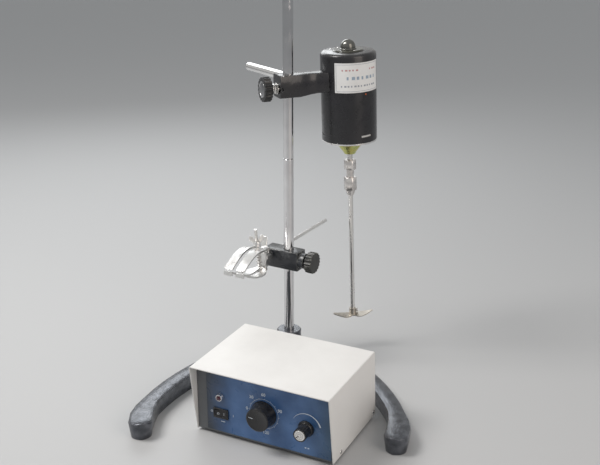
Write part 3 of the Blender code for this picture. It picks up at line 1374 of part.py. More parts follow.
def make_stirring_rod(rotor):
    chamfer = STIRRING_ROD_RADIUS / 5
    rod = [
        (0, STIRRING_ROD_TOP),
        (STIRRING_ROD_RADIUS - chamfer, STIRRING_ROD_TOP),
        (STIRRING_ROD_RADIUS, STIRRING_ROD_TOP - chamfer),
        (STIRRING_ROD_RADIUS, STIRRING_ROD_BOTTOM + chamfer),
        (STIRRING_ROD_RADIUS - chamfer, STIRRING_ROD_BOTTOM),
        (0, STIRRING_ROD_BOTTOM),
    ]
    turned("stirring_rod", rod, STEEL, rotor, sides=SMALL_SEGMENTS)


def make_blade(rotor):
    """Two crescent wings, swept back and turned up to their tips, on a hub with a set screw."""
    blade_axis = carrier("blade_axis", rotor, (0, 0, BLADE_HEIGHT), (0, 0, BLADE_TURN - ARM_ANGLE))
    rings = []
    half = BLADE_THICKNESS / 2
    for step in range(BLADE_STATIONS):
        share = step / (BLADE_STATIONS - 1)
        swell = math.sin(math.pi * (1 + share) / 2)
        grow = BLADE_ROOT_SHARE + (1 - BLADE_ROOT_SHARE) * math.sin(math.pi * min(share * 2, 1) / 2)
        chord = BLADE_CHORD * (grow * swell + BLADE_TIP_SHARE * share)
        rear = Vector((
            share * BLADE_SPAN / 2, BLADE_REAR_EDGE - BLADE_SWEEP * share**2, BLADE_TIP_RISE * share**2
        ))
        rings.append([
            rear - Vector((0, 0, half)),
            rear + Vector((0, 0, half)),
            rear + Vector((0, -chord, half)),
            rear + Vector((0, -chord, -half)),
        ])
    blade = loft("stirrer_blade", rings, STEEL, blade_axis, turn=(BLADE_PITCH, 0, 0), open_start=True)
    mirrored(blade)
    hub = cylinder(
        "blade_hub_form", BLADE_HUB_RADIUS, -2 * BLADE_THICKNESS, BLADE_HUB_LENGTH - 2 * BLADE_THICKNESS,
        STEEL, blade_axis,
    )
    fuse(blade, hub)
    bore = cylinder(
        "blade_bore_tool", STIRRING_ROD_RADIUS + SEAT_GAP, -BLADE_HUB_LENGTH, BLADE_HUB_LENGTH, STEEL,
        blade_axis,
    )
    screw_height = (BLADE_HUB_LENGTH - BLADE_THICKNESS) / 2
    hole = cylinder(
        "blade_screw_tool", BLADE_SCREW_RADIUS + SEAT_GAP, 0, BLADE_HUB_RADIUS + OVERRUN, STEEL,
        blade_axis, (0, 0, screw_height), TO_RIGHT,
    )
    cut(blade, bore, hole)
    tip = STIRRING_ROD_RADIUS + SEAT_GAP
    collar = BLADE_HUB_RADIUS + SEAT_GAP
    screw = [
        (0, collar + BLADE_SCREW_HEAD_LENGTH),
        (BLADE_SCREW_HEAD_RADIUS, collar + BLADE_SCREW_HEAD_LENGTH),
        (BLADE_SCREW_HEAD_RADIUS, collar),
        (BLADE_SCREW_RADIUS, collar),
        (BLADE_SCREW_RADIUS, tip),
        (0, tip),
    ]
    turned(
        "blade_set_screw", screw, STEEL, blade_axis, (0, 0, screw_height), TO_RIGHT, sides=SMALL_SEGMENTS
    )


# Boss head


def wing_outline(length, height, root, lift_share):
    """Two raised wings either side of a screw's axis, as one outline."""
    right = [
        (0, 0),
        (root, 0),
        (length * 4 / 5, height * lift_share),
        (length, height * (1 + lift_share) / 3),
        (length, height * 4 / 5),
        (length * 6 / 7, height),
        (length / 2, height * 9 / 10),
        (root, height * 3 / 5),
    ]
    left = [(-x, z) for x, z in right[:0:-1]]
    return right + left


def make_boss_head(boss):
    casting = block(
        "boss_head", (-BOSS_LEFT, -BOSS_HALF_WIDTH, -BOSS_DEPTH / 2),
        (BOSS_RIGHT, BOSS_HALF_WIDTH, BOSS_DEPTH / 2), BLACK_ENAMEL, boss,
    )
    rounded(casting, BOSS_EDGE)
    face = BOSS_RIGHT + BOSS_COLLAR_LENGTH
    collar = cylinder(
        "boss_collar_form", BOSS_COLLAR_RADIUS, ROD_RADIUS, face, BLACK_ENAMEL, boss, turn=TO_RIGHT,
        sides=ROUND_SEGMENTS,
    )
    rounded(collar, BOSS_EDGE / 2, 1)
    fuse(casting, collar)
    rod_bore = cylinder(
        "boss_bore_tool", ROD_RADIUS + BRACKET_BORE_GAP, -BOSS_DEPTH, BOSS_DEPTH, STEEL, boss,
        sides=ROUND_SEGMENTS,
    )
    stud_hole = cylinder(
        "boss_stud_tool", LOCK_STUD_RADIUS + SEAT_GAP, 0, face + OVERRUN, STEEL, boss, turn=TO_RIGHT
    )
    cross_hole = cylinder(
        "boss_cross_tool", CLAMP_ROD_RADIUS + SEAT_GAP, -2 * BOSS_HALF_WIDTH, 2 * BOSS_HALF_WIDTH, STEEL,
        boss, (-CLAMP_ROD_OFFSET, 0, CLAMP_ROD_RISE), TO_BACK,
    )
    thumb_hole = cylinder(
        "boss_thumb_tool", THUMB_SCREW_RADIUS + SEAT_GAP, CLAMP_ROD_OFFSET, BOSS_LEFT + OVERRUN, STEEL,
        boss, (0, 0, CLAMP_ROD_RISE), TO_LEFT,
    )
    cut(casting, rod_bore, stud_hole, cross_hole, thumb_hole)
    lock_axis = carrier("boss_lock_axis", boss, (face, 0, 0), TO_RIGHT)
    lock_knob(
        "boss_lock", lock_axis, BOSS_KNOB_RADIUS, BOSS_KNOB_STANDOFF, face - ROD_RADIUS - SEAT_GAP, False
    )
    thumb_axis = carrier("thumb_screw_axis", boss, (-BOSS_LEFT, 0, CLAMP_ROD_RISE), TO_LEFT)
    inward = BOSS_LEFT - CLAMP_ROD_OFFSET - CLAMP_ROD_RADIUS - SEAT_GAP
    head_low = THUMB_HEAD_LENGTH / 3
    profile = [
        (0, head_low + THUMB_HEAD_LENGTH),
        (THUMB_HEAD_RADIUS * 3 / 4, head_low + THUMB_HEAD_LENGTH),
        (THUMB_HEAD_RADIUS, head_low + THUMB_HEAD_LENGTH / 2),
        (THUMB_HEAD_RADIUS, head_low),
        (THUMB_SCREW_RADIUS, head_low),
        (THUMB_SCREW_RADIUS, -inward),
        (0, -inward),
    ]
    thumb = turned("clamp_rod_screw", profile, NICKEL, thumb_axis, sides=SMALL_SEGMENTS)
    wings = plate(
        "thumb_wing_form", [wing_outline(WING_LENGTH, WING_HEIGHT, THUMB_HEAD_RADIUS / 2, WING_LIFT_SHARE)],
        WING_THICKNESS, NICKEL, thumb_axis, (0, 0, head_low + THUMB_HEAD_LENGTH / 4),
        (math.pi / 2, 0, WING_TURN),
    )
    rounded(wings, WING_THICKNESS / 4, 1)
    fuse(thumb, wings)


# Flask clamp


def jaw_surface(name, root_height, arch, crown, lip, material, parent):
    """A jaw's sheet: bowed, hooped across, narrow at the yoke, and with a lip at its tip if it has one."""
    work = bmesh.new()
    bmesh.ops.create_grid(work, x_segments=JAW_COLUMNS, y_segments=JAW_ROWS, size=1)
    for vert in work.verts:
        share = JAW_ROOT_SHARE + (1 - JAW_ROOT_SHARE) * (1 - vert.co.y) / 2
        across = vert.co.x
        widen = smooth_step(JAW_ROOT_SHARE, JAW_FULL_WIDTH_SHARE, share)
        root_half = YOKE_HALF_WIDTH + RUN_GAP + JAW_EAR_THICKNESS + JAW_THICKNESS / 4
        half = root_half + (JAW_HALF_WIDTH - root_half) * widen
        forward = JAW_PIVOT_FORWARD + JAW_LENGTH * share
        sag = crown * widen * (1 - share**2) * across**2
        vert.co = (half * across, -forward, jaw_height(root_height, arch, forward) - sag)
    if lip:
        front = min(vert.co.y for vert in work.verts) + JAW_THICKNESS / 4
        tip = [edge for edge in work.edges if all(vert.co.y < front for vert in edge.verts)]
        grown = bmesh.ops.extrude_edge_only(work, edges=tip)["geom"]
        bent_down = [vert for vert in grown if isinstance(vert, bmesh.types.BMVert)]
        bmesh.ops.translate(work, verts=bent_down, vec=(0, -LIP_LEAN, -lip))
    bmesh.ops.recalc_face_normals(work, faces=work.faces)
    if sum(face.normal.z for face in work.faces) < 0:
        bmesh.ops.reverse_faces(work, faces=work.faces)
    obj = add(name, mesh_of(name, work), material, parent)
    sheet = obj.modifiers.new("Sheet", "SOLIDIFY")
    sheet.thickness = JAW_THICKNESS
    sheet.offset = 0
    return obj


def jaw_height(root_height, arch, forward):
    """Height of a jaw's middle surface on its centre line."""
    share = (forward - JAW_PIVOT_FORWARD) / JAW_LENGTH
    tip_height = JAW_TIP_HEIGHT + math.copysign(TIP_GAP + JAW_THICKNESS, arch) / 2
    return root_height + (tip_height - root_height) * share + arch * math.sin(math.pi * share)


def make_clamp(clamp):
    rod = [
        (0, CLAMP_ROD_REAR),
        (CLAMP_ROD_RADIUS * 4 / 5, CLAMP_ROD_REAR),
        (CLAMP_ROD_RADIUS, CLAMP_ROD_REAR - CLAMP_ROD_RADIUS / 5),
        (CLAMP_ROD_RADIUS, -CLAMP_ROD_FRONT),
        (0, -CLAMP_ROD_FRONT),
    ]
    turned("clamp_rod", rod, STEEL, clamp, turn=TO_BACK, sides=SMALL_SEGMENTS)
    lower_root = -JAW_PIVOT_RISE - YOKE_DROP
    fixed = jaw_surface("fixed_jaw", lower_root, -LOWER_ARCH, -JAW_CROWN, LOWER_LIP, NICKEL, clamp)
    nose = circle_points(
        YOKE_NOSE_RADIUS, 7, (-JAW_PIVOT_FORWARD, JAW_PIVOT_RISE), math.pi / 6, 7 * math.pi / 6
    )
    yoke_outline = [
        (-YOKE_BACK, YOKE_EDGE - YOKE_SOCKET_RADIUS),
        (-YOKE_BACK, YOKE_SOCKET_RADIUS - YOKE_EDGE),
        *nose,
        (-JAW_PIVOT_FORWARD - YOKE_WAIST, 0),
        (-YOKE_FRONT, lower_root + JAW_THICKNESS),
        (-YOKE_FRONT, lower_root - JAW_THICKNESS),
        (-JAW_PIVOT_FORWARD, lower_root - JAW_THICKNESS),
    ]
    yoke = plate(
        "yoke_form", [yoke_outline], 2 * YOKE_HALF_WIDTH, NICKEL, clamp, turn=ACROSS
    )
    rounded(yoke, YOKE_EDGE, 1)
    socket = cylinder(
        "yoke_socket_form", YOKE_SOCKET_RADIUS, YOKE_BACK - YOKE_EDGE, CLAMP_ROD_FRONT, NICKEL, clamp,
        turn=TO_FRONT,
    )
    fuse(fixed, yoke, socket)
    rod_hole = cylinder(
        "yoke_rod_tool", CLAMP_ROD_RADIUS + SEAT_GAP, 0, CLAMP_ROD_FRONT + SEAT_GAP, STEEL, clamp,
        turn=TO_FRONT,
    )
    pivot = (0, -JAW_PIVOT_FORWARD, JAW_PIVOT_RISE)
    pin_hole = cylinder(
        "jaw_pin_tool", JAW_PIN_RADIUS + SEAT_GAP, -JAW_HALF_WIDTH, JAW_HALF_WIDTH, STEEL, clamp, pivot,
        TO_RIGHT,
    )
    cut(fixed, rod_hole, pin_hole, jaw_slot("fixed_jaw_slot_tool", BOLT_FORWARD, clamp))
    upper = jaw_surface(
        "hinged_jaw", JAW_PIVOT_RISE + JAW_ROOT_LIFT, UPPER_ARCH, JAW_CROWN, 0, NICKEL, clamp
    )
    ear_round = circle_points(
        JAW_EAR_RADIUS, 7, (-JAW_PIVOT_FORWARD, JAW_PIVOT_RISE), math.pi / 2, -math.pi
    )
    ear_tip = -JAW_PIVOT_FORWARD - JAW_EAR_LENGTH
    tip_middle = jaw_height(JAW_PIVOT_RISE + JAW_ROOT_LIFT, UPPER_ARCH, JAW_PIVOT_FORWARD + JAW_EAR_LENGTH)
    ear_outline = [*ear_round, (ear_tip, tip_middle - JAW_THICKNESS / 3), (ear_tip, tip_middle)]
    for i, x_sign in enumerate((-1, 1)):
        middle = x_sign * (YOKE_HALF_WIDTH + RUN_GAP + JAW_EAR_THICKNESS / 2)
        ear = plate(
            f"ear_form_{i}", [ear_outline], JAW_EAR_THICKNESS, NICKEL, clamp, (middle, 0, 0), ACROSS
        )
        fuse(upper, ear)
    _, crossing = bolt_crossing(lower_root, JAW_PIVOT_RISE + JAW_ROOT_LIFT)
    cut(upper, pin_hole, jaw_slot("hinged_jaw_slot_tool", crossing, clamp))
    hinge_origin(upper, pivot)
    outer = YOKE_HALF_WIDTH + 2 * RUN_GAP + JAW_EAR_THICKNESS
    pin = [
        (0, outer + JAW_PIN_HEAD_LENGTH),
        (JAW_PIN_HEAD_RADIUS, outer + JAW_PIN_HEAD_LENGTH),
        (JAW_PIN_HEAD_RADIUS, outer),
        (JAW_PIN_RADIUS, outer),
        (JAW_PIN_RADIUS, -outer),
        (JAW_PIN_HEAD_RADIUS, -outer),
        (JAW_PIN_HEAD_RADIUS, -outer - JAW_PIN_HEAD_LENGTH),
        (0, -outer - JAW_PIN_HEAD_LENGTH),
    ]
    turned("jaw_pivot_pin", pin, STEEL, clamp, pivot, TO_RIGHT, sides=SMALL_SEGMENTS)
    make_jaw_bolt(clamp, lower_root)


def hinge_origin(obj, pivot):
    """Moves an object's origin to its hinge, with its shape left in place."""
    obj.data.transform(Matrix.Translation(-Vector(pivot)))
    obj.location = pivot


def jaw_slot(name, bolt_forward, clamp):
    """The slot that splits a jaw into two prongs, from just behind the bolt out past the tip."""
    back = BOLT_RADIUS + BOLT_SLOT_GAP - bolt_forward
    half = JAW_SLOT_WIDTH / 2
    return block(
        name, (-half, -JAW_PIVOT_FORWARD - JAW_LENGTH - OVERRUN, -JAW_LENGTH / 2),
        (half, back, JAW_LENGTH / 2), STEEL, clamp,
    )


def bolt_crossing(lower_root, upper_root):
    """Where the leaning bolt meets the two jaws: the lower height, and how far forward the upper is."""
    low = jaw_height(lower_root, -LOWER_ARCH, BOLT_FORWARD)
    forward = BOLT_FORWARD
    for _ in range(BOLT_FIT_ROUNDS):
        rise = jaw_height(upper_root, UPPER_ARCH, forward) - low
        forward = BOLT_FORWARD + rise * math.tan(BOLT_LEAN)
    return low, forward


def rise_along_bolt(root, arch, low, radius, bolt_side):
    """Distance up the bolt at which a ring of this radius just clears a jaw's middle surface.

    bolt_side is 1 for a ring above the jaw and -1 for one below it.
    """
    across = Vector((math.cos(BOLT_LEAN), -math.sin(BOLT_LEAN)))
    along = Vector((math.sin(BOLT_LEAN), math.cos(BOLT_LEAN)))
    foot = Vector((BOLT_FORWARD, low))
    found = []
    for side in (-radius, 0, radius):
        rise = 0.0
        for _ in range(BOLT_FIT_ROUNDS):
            point = foot + across * side + along * rise
            rise += (jaw_height(root, arch, point.x) - point.y) / along.y
        found.append(rise * bolt_side)
    return max(found) * bolt_side


def make_jaw_bolt(clamp, lower_root):
    upper_root = JAW_PIVOT_RISE + JAW_ROOT_LIFT
    low, _ = bolt_crossing(lower_root, upper_root)
    skin = JAW_THICKNESS / 2 + RUN_GAP
    axis = carrier("bolt_axis", clamp, (0, -BOLT_FORWARD, low), (BOLT_LEAN, 0, 0))
    head_top = rise_along_bolt(lower_root, -LOWER_ARCH, low, BOLT_HEAD_RADIUS, -1) - skin
    bolt = [
        (0, BOLT_TOP),
        (BOLT_RADIUS, BOLT_TOP),
        (BOLT_RADIUS, head_top),
        (BOLT_HEAD_RADIUS, head_top),
        (BOLT_HEAD_RADIUS, head_top - BOLT_HEAD_LENGTH),
        (0, head_top - BOLT_HEAD_LENGTH),
    ]
    turned("jaw_bolt", bolt, STEEL, axis, sides=SMALL_SEGMENTS)
    nut_seat = rise_along_bolt(upper_root, UPPER_ARCH, low, NUT_RADIUS, 1) + skin
    nut_axis = carrier("nut_axis", axis, (0, 0, nut_seat))
    nut_profile = [
        (0, NUT_LENGTH),
        (NUT_RADIUS * 3 / 4, NUT_LENGTH),
        (NUT_RADIUS, NUT_LENGTH / 2),
        (NUT_RADIUS, 0),
        (0, 0),
    ]
    nut = turned("jaw_wing_nut", nut_profile, NICKEL, nut_axis, sides=SMALL_SEGMENTS)
    wings = plate(
        "nut_wing_form", [wing_outline(NUT_WING_LENGTH, NUT_WING_HEIGHT, NUT_RADIUS * 2 / 3, NUT_WING_LIFT_SHARE)],
        NUT_WING_THICKNESS, NICKEL, nut_axis, (0, 0, NUT_LENGTH / 4), (math.pi / 2, 0, NUT_WING_TURN),
    )
    rounded(wings, NUT_WING_THICKNESS / 4, 1)
    fuse(nut, wings)
    bore = cylinder("nut_bore_tool", BOLT_RADIUS + RUN_GAP, -OVERRUN, BOLT_TOP, STEEL, nut_axis)
    cut(nut, bore)
    reach = BOLT_RADIUS + SPRING_COIL_GAP + 2 * SPRING_WIRE
    spring_low = rise_along_bolt(lower_root, -LOWER_ARCH, low, reach, 1) + skin
    spring_high = rise_along_bolt(upper_root, UPPER_ARCH, low, reach, -1) - skin
    make_jaw_spring(axis, spring_low, spring_high)


def make_jaw_spring(axis, low, high):
    """One unbroken wire in open curls round the bolt, pushing the jaws apart."""
    radius = BOLT_RADIUS + SPRING_COIL_GAP + SPRING_WIRE
    start = low + SPRING_WIRE
    rise = (high - low - 2 * SPRING_WIRE) / SPRING_CURLS
    count = SPRING_CURLS * SPRING_POINTS_PER_CURL + 1
    points = []
    for i in range(count):
        turns = i / SPRING_POINTS_PER_CURL
        angle = 2 * math.pi * turns
        points.append(Vector((radius * math.cos(angle), radius * math.sin(angle), start + rise * turns)))
    least = min(
        (points[i] - points[j]).length
        for i in range(count)
        for j in range(i + SPRING_POINTS_PER_CURL // 2, count)
    )
    print(f"jaw spring: least gap between its curls {(least - 2 * SPRING_WIRE) * 1000:.2f} mm")
    curve = bpy.data.curves.new("jaw_spring", "CURVE")
    curve.dimensions = "3D"
    curve.bevel_depth = SPRING_WIRE
    curve.bevel_resolution = 1
    curve.use_fill_caps = True
    spline = curve.splines.new("POLY")
    spline.points.add(count - 1)
    for point, place in zip(spline.points, points):
        point.co = (*place, 1)
    curve.materials.append(STEEL)
    spring = bpy.data.objects.new("jaw_spring", curve)
    PARTS.objects.link(spring)
    spring.parent = axis


make_base()
make_stand_rod()
control_box = carrier("control_box", place=(BOX_CENTRE_X, PANEL_Y, FOOT_HEIGHT))
box_chassis = make_box(control_box)
make_lamp(control_box)
make_switch(control_box)
make_timer(control_box)
make_speed_knob(control_box)
make_electronics(control_box)
make_back_fittings(control_box, box_chassis)
bracket_slide = carrier("bracket_slide", place=(0, 0, BRACKET_HEIGHT), turn=(0, 0, ARM_ANGLE))
leaning_line = carrier("motor_line", bracket_slide, (MOTOR_OFFSET, 0, 0), (0, -MOTOR_LEAN, 0))
make_bracket(bracket_slide, leaning_line)
motor_frame = carrier("motor_frame", leaning_line, (0, 0, -BRACKET_HEIGHT))
rotor_axis = carrier("rotor_axis", motor_frame)
make_motor_housing(motor_frame)
make_motor_works(motor_frame, rotor_axis)
make_chuck(rotor_axis)
make_stirring_rod(rotor_axis)
make_blade(rotor_axis)
boss_slide = carrier("boss_slide", place=(0, 0, BOSS_HEIGHT), turn=(0, 0, BOSS_TURN))
make_boss_head(boss_slide)
clamp_slide = carrier("clamp_slide", boss_slide, (-CLAMP_ROD_OFFSET, 0, CLAMP_ROD_RISE))
make_clamp(clamp_slide)
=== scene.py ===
import math

import bmesh
import bpy
from mathutils import Matrix, Vector


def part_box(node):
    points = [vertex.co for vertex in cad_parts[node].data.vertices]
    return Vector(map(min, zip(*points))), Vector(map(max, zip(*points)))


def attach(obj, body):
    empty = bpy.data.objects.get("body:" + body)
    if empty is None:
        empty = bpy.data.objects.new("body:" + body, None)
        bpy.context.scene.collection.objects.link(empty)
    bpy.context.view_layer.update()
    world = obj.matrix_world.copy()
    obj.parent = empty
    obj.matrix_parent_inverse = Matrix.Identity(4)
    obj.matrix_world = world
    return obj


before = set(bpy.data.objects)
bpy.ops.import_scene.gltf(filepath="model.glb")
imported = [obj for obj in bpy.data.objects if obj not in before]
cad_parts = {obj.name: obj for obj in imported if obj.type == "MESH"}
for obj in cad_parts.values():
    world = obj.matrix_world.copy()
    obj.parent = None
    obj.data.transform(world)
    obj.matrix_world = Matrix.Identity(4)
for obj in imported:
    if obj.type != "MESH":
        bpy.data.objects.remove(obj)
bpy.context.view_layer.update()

# The room: a plain pale floor and surround, and three soft lamps. The camera looks down at the
# stirrer from the right of its control box, at the height of a person standing at the bench.
EYE = Vector((0.606, -1.1863, 0.6844))
LOOK_FORWARD = Vector((-0.4437, 0.8962, 0.0))
LOOK_DOWN = math.radians(19.86)
LENS = 57.378
FLOOR_REACH = 9.0
FLOOR_DROP = 0.0002
FLOOR_SIDES = 96
PALE = (0.80, 0.80, 0.79, 1.0)


def put(tree, kind, sockets=None, **settings):
    """A shader node with its settings made and its sockets filled or wired."""
    node = tree.nodes.new("ShaderNode" + kind)
    for label, value in settings.items():
        setattr(node, label, value)
    for label, value in (sockets or {}).items():
        if isinstance(value, bpy.types.NodeSocket):
            tree.links.new(value, node.inputs[label])
        else:
            node.inputs[label].default_value = value
    return node


scene = bpy.context.scene
scene.view_settings.view_transform = "Standard"
forward = LOOK_FORWARD.normalized() * math.cos(LOOK_DOWN) - Vector((0, 0, math.sin(LOOK_DOWN)))
right = forward.cross(Vector((0, 0, 1))).normalized()
overhead = right.cross(forward)
camera = bpy.data.objects.new("camera", bpy.data.cameras.new("camera"))
camera.data.sensor_width = 36.0
camera.data.lens = LENS
camera.data.clip_end = 50.0
camera.matrix_world = Matrix(
    [(*row, at) for row, at in zip(zip(right, overhead, -forward), EYE)] + [(0, 0, 0, 1)]
)
scene.collection.objects.link(camera)
scene.camera = camera

floor_mesh = bpy.data.meshes.new("floor")
floor_form = bmesh.new()
bmesh.ops.create_circle(floor_form, cap_ends=True, radius=FLOOR_REACH, segments=FLOOR_SIDES)
bmesh.ops.translate(floor_form, verts=floor_form.verts, vec=(0, 0, -FLOOR_DROP))
floor_form.to_mesh(floor_mesh)
floor_form.free()
floor = bpy.data.objects.new("floor", floor_mesh)
scene.collection.objects.link(floor)
floor_finish = bpy.data.materials.new("pale bench top")
floor_finish.use_nodes = True
floor_shader = floor_finish.node_tree.nodes["Principled BSDF"]
floor_shader.inputs["Roughness"].default_value = 0.55
floor_grain = put(floor_finish.node_tree, "TexNoise", {"Scale": 3.0, "Detail": 3.0})
floor_tone = put(
    floor_finish.node_tree, "Mix",
    {0: floor_grain.outputs[0], 6: (0.50, 0.50, 0.50, 1.0), 7: (0.54, 0.54, 0.535, 1.0)},
    data_type="RGBA",
)
floor_finish.node_tree.links.new(floor_tone.outputs[2], floor_shader.inputs["Base Color"])
floor_mesh.materials.append(floor_finish)

world = bpy.data.worlds.new("studio")
scene.world = world
world.use_nodes = True
sky = world.node_tree
sky.nodes.clear()
path = put(sky, "LightPath")
direct = put(
    sky, "Math", {0: path.outputs["Is Camera Ray"], 1: path.outputs["Is Glossy Ray"]}, operation="MAXIMUM"
)
seen = put(
    sky, "Math", {0: direct.outputs[0], 1: path.outputs["Is Transmission Ray"]}, operation="MAXIMUM"
)
ambient = put(sky, "Background", {"Color": (0.92, 0.96, 1.0, 1.0), "Strength": 0.40})
shown = put(sky, "Background", {"Color": PALE, "Strength": 0.62})
chosen = put(sky, "MixShader", {0: seen.outputs[0], 1: ambient.outputs[0], 2: shown.outputs[0]})
put(sky, "OutputWorld", {"Surface": chosen.outputs[0]})


def soft_lamp(name, place, aim, size, watts, tint):
    """A square soft lamp that faces a point."""
    lamp = bpy.data.lights.new(name, "AREA")
    lamp.shape = "RECTANGLE"
    lamp.size, lamp.size_y = size
    lamp.energy = watts
    lamp.color = tint
    holder = bpy.data.objects.new(name, lamp)
    holder.location = place
    holder.rotation_euler = (Vector(aim) - Vector(place)).to_track_quat("-Z", "Y").to_euler()
    scene.collection.objects.link(holder)


soft_lamp("key", (-0.95, -0.70, 1.75), (0.05, -0.10, 0.15), (0.7, 0.9), 27.0, (1.0, 0.98, 0.96))
soft_lamp("fill", (1.55, -0.60, 1.00), (0.05, -0.10, 0.20), (1.0, 1.4), 8.5, (1.0, 0.88, 0.79))
soft_lamp("back", (-0.95, 0.95, 1.00), (0.00, -0.15, 0.10), (1.1, 0.7), 6.0, (0.95, 0.98, 1.0))


# The cast base: one grey iron casting, hub and two arms swept forward into feet, finished in glossy
# hammered enamel. A hexagon-headed screw at the back of the hub holds the stand rod in it.
WELD = 0.000002
ROUNDING_RAYS = 4


def shading(crease):
    """Modifier tree that joins a carried piece's facets and keeps only its true edges sharp."""
    tree = bpy.data.node_groups.new("joined and smoothed", "GeometryNodeTree")
    tree.interface.new_socket("Geometry", in_out="INPUT", socket_type="NodeSocketGeometry")
    tree.interface.new_socket("Geometry", in_out="OUTPUT", socket_type="NodeSocketGeometry")
    start, end = tree.nodes.new("NodeGroupInput"), tree.nodes.new("NodeGroupOutput")
    join = tree.nodes.new("GeometryNodeMergeByDistance")
    join.inputs["Distance"].default_value = WELD
    smooth = tree.nodes.new("GeometryNodeSetShadeSmooth")
    smooth.inputs["Shade Smooth"].default_value = True
    sharpen = tree.nodes.new("GeometryNodeSetShadeSmooth")
    sharpen.domain = "EDGE"
    sharpen.inputs["Shade Smooth"].default_value = False
    angle = tree.nodes.new("GeometryNodeInputMeshEdgeAngle")
    steep = tree.nodes.new("FunctionNodeCompare")
    steep.data_type = "FLOAT"
    steep.operation = "GREATER_THAN"
    steep.inputs["B"].default_value = math.radians(crease)
    links = tree.links
    links.new(start.outputs[0], join.inputs["Geometry"])
    links.new(join.outputs["Geometry"], smooth.inputs["Geometry"])
    links.new(smooth.outputs["Geometry"], sharpen.inputs["Geometry"])
    links.new(angle.outputs["Unsigned Angle"], steep.inputs["A"])
    links.new(steep.outputs["Result"], sharpen.inputs["Selection"])
    links.new(sharpen.outputs["Geometry"], end.inputs[0])
    return tree


ROUND_SHADING = shading(38.0)
FLAT_SHADING = shading(20.0)


def dress(finish, names, tree=ROUND_SHADING):
    """Gives carried nodes their finish and their shading."""
    for name in names.split():
        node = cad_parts[name]
        mesh = node.data
        mesh.materials.clear()
        mesh.materials.append(finish)
        if "custom_normal" in mesh.attributes:
            mesh.attributes.remove(mesh.attributes["custom_normal"])
        node.modifiers.new("shading", "NODES").node_group = tree


def effect(name, inputs, outputs):
    """An empty shader group with named sockets, and its two ends."""
    group = bpy.data.node_groups.new(name, "ShaderNodeTree")
    for label, start in inputs.items():
        kind = "NodeSocketVector" if isinstance(start, tuple) else "NodeSocketFloat"
        group.interface.new_socket(label, in_out="INPUT", socket_type=kind).default_value = start
    for label, kind in outputs.items():
        group.interface.new_socket(label, in_out="OUTPUT", socket_type="NodeSocket" + kind)
    return group, group.nodes.new("NodeGroupInput"), group.nodes.new("NodeGroupOutput")


# Grain: the fine unevenness that a coating keeps when it has dried, and the slow drift of its tone
# from one place to the next.
GRAIN, start, end = effect(
    "coating grain", {"Scale": 900.0, "Stretch": (1.0, 1.0, 1.0), "Drift": 22.0},
    {"Height": "Float", "Tone": "Float"},
)
place = put(GRAIN, "TexCoord")
spread = put(
    GRAIN, "VectorMath", {0: place.outputs["Object"], 1: start.outputs["Stretch"]}, operation="MULTIPLY"
)
fine = put(GRAIN, "TexNoise", {"Vector": spread.outputs[0], "Scale": start.outputs["Scale"], "Detail": 2.0})
slow = put(
    GRAIN, "TexNoise", {"Vector": place.outputs["Object"], "Scale": start.outputs["Drift"], "Detail": 3.0}
)
tone = put(GRAIN, "MapRange", {"Value": slow.outputs[0], "From Min": 0.32, "From Max": 0.68})
GRAIN.links.new(fine.outputs[0], end.inputs["Height"])
GRAIN.links.new(tone.outputs[0], end.inputs["Tone"])

# Handling: finger smears and fine rubbing, which change the gloss from place to place on every part
# that is held or wiped.
HANDLING, start, end = effect(
    "handling marks", {"Scale": 60.0, "Low": 0.2, "High": 0.4}, {"Roughness": "Float"}
)
place = put(HANDLING, "TexCoord")
smear = put(HANDLING, "TexNoise", {
    "Vector": place.outputs["Object"], "Scale": start.outputs["Scale"], "Detail": 5.0, "Distortion": 0.8,
})
gloss = put(HANDLING, "MapRange", {
    "Value": smear.outputs[0], "From Min": 0.35, "From Max": 0.68,
    "To Min": start.outputs["Low"], "To Max": start.outputs["High"],
})
HANDLING.links.new(gloss.outputs[0], end.inputs["Roughness"])

# Edge wear: where the rounded normal parts from the flat one there is an edge. A coating is thin
# there, and rubs through to what is under it.
# On the boss head and its lock knob the pale edge colour is both wear and a painted highlight.
EDGE_WEAR_AND_HIGHLIGHT, start, end = effect(
    "edge wear and painted edge highlight", {"Reach": 0.0009, "Amount": 0.5}, {"Mask": "Float", "Normal": "Vector"}
)
rounded = put(EDGE_WEAR_AND_HIGHLIGHT, "Bevel", {"Radius": start.outputs["Reach"]}, samples=ROUNDING_RAYS)
flat = put(EDGE_WEAR_AND_HIGHLIGHT, "NewGeometry")
along = put(EDGE_WEAR_AND_HIGHLIGHT, "VectorMath", {0: rounded.outputs[0], 1: flat.outputs["Normal"]}, operation="DOT_PRODUCT")
place = put(EDGE_WEAR_AND_HIGHLIGHT, "TexCoord")
patchy = put(EDGE_WEAR_AND_HIGHLIGHT, "TexNoise", {"Vector": place.outputs["Object"], "Scale": 160.0, "Detail": 4.0})
edge = put(EDGE_WEAR_AND_HIGHLIGHT, "MapRange", {"Value": along.outputs["Value"], "From Min": 0.985, "From Max": 0.86})
worn = put(EDGE_WEAR_AND_HIGHLIGHT, "MapRange", {"Value": patchy.outputs[0], "From Min": 0.46, "From Max": 0.60})
both = put(EDGE_WEAR_AND_HIGHLIGHT, "Math", {0: edge.outputs[0], 1: worn.outputs[0]}, operation="MULTIPLY")
some = put(
    EDGE_WEAR_AND_HIGHLIGHT, "Math", {0: both.outputs[0], 1: start.outputs["Amount"]}, operation="MULTIPLY", use_clamp=True
)
EDGE_WEAR_AND_HIGHLIGHT.links.new(some.outputs[0], end.inputs["Mask"])
EDGE_WEAR_AND_HIGHLIGHT.links.new(rounded.outputs[0], end.inputs["Normal"])

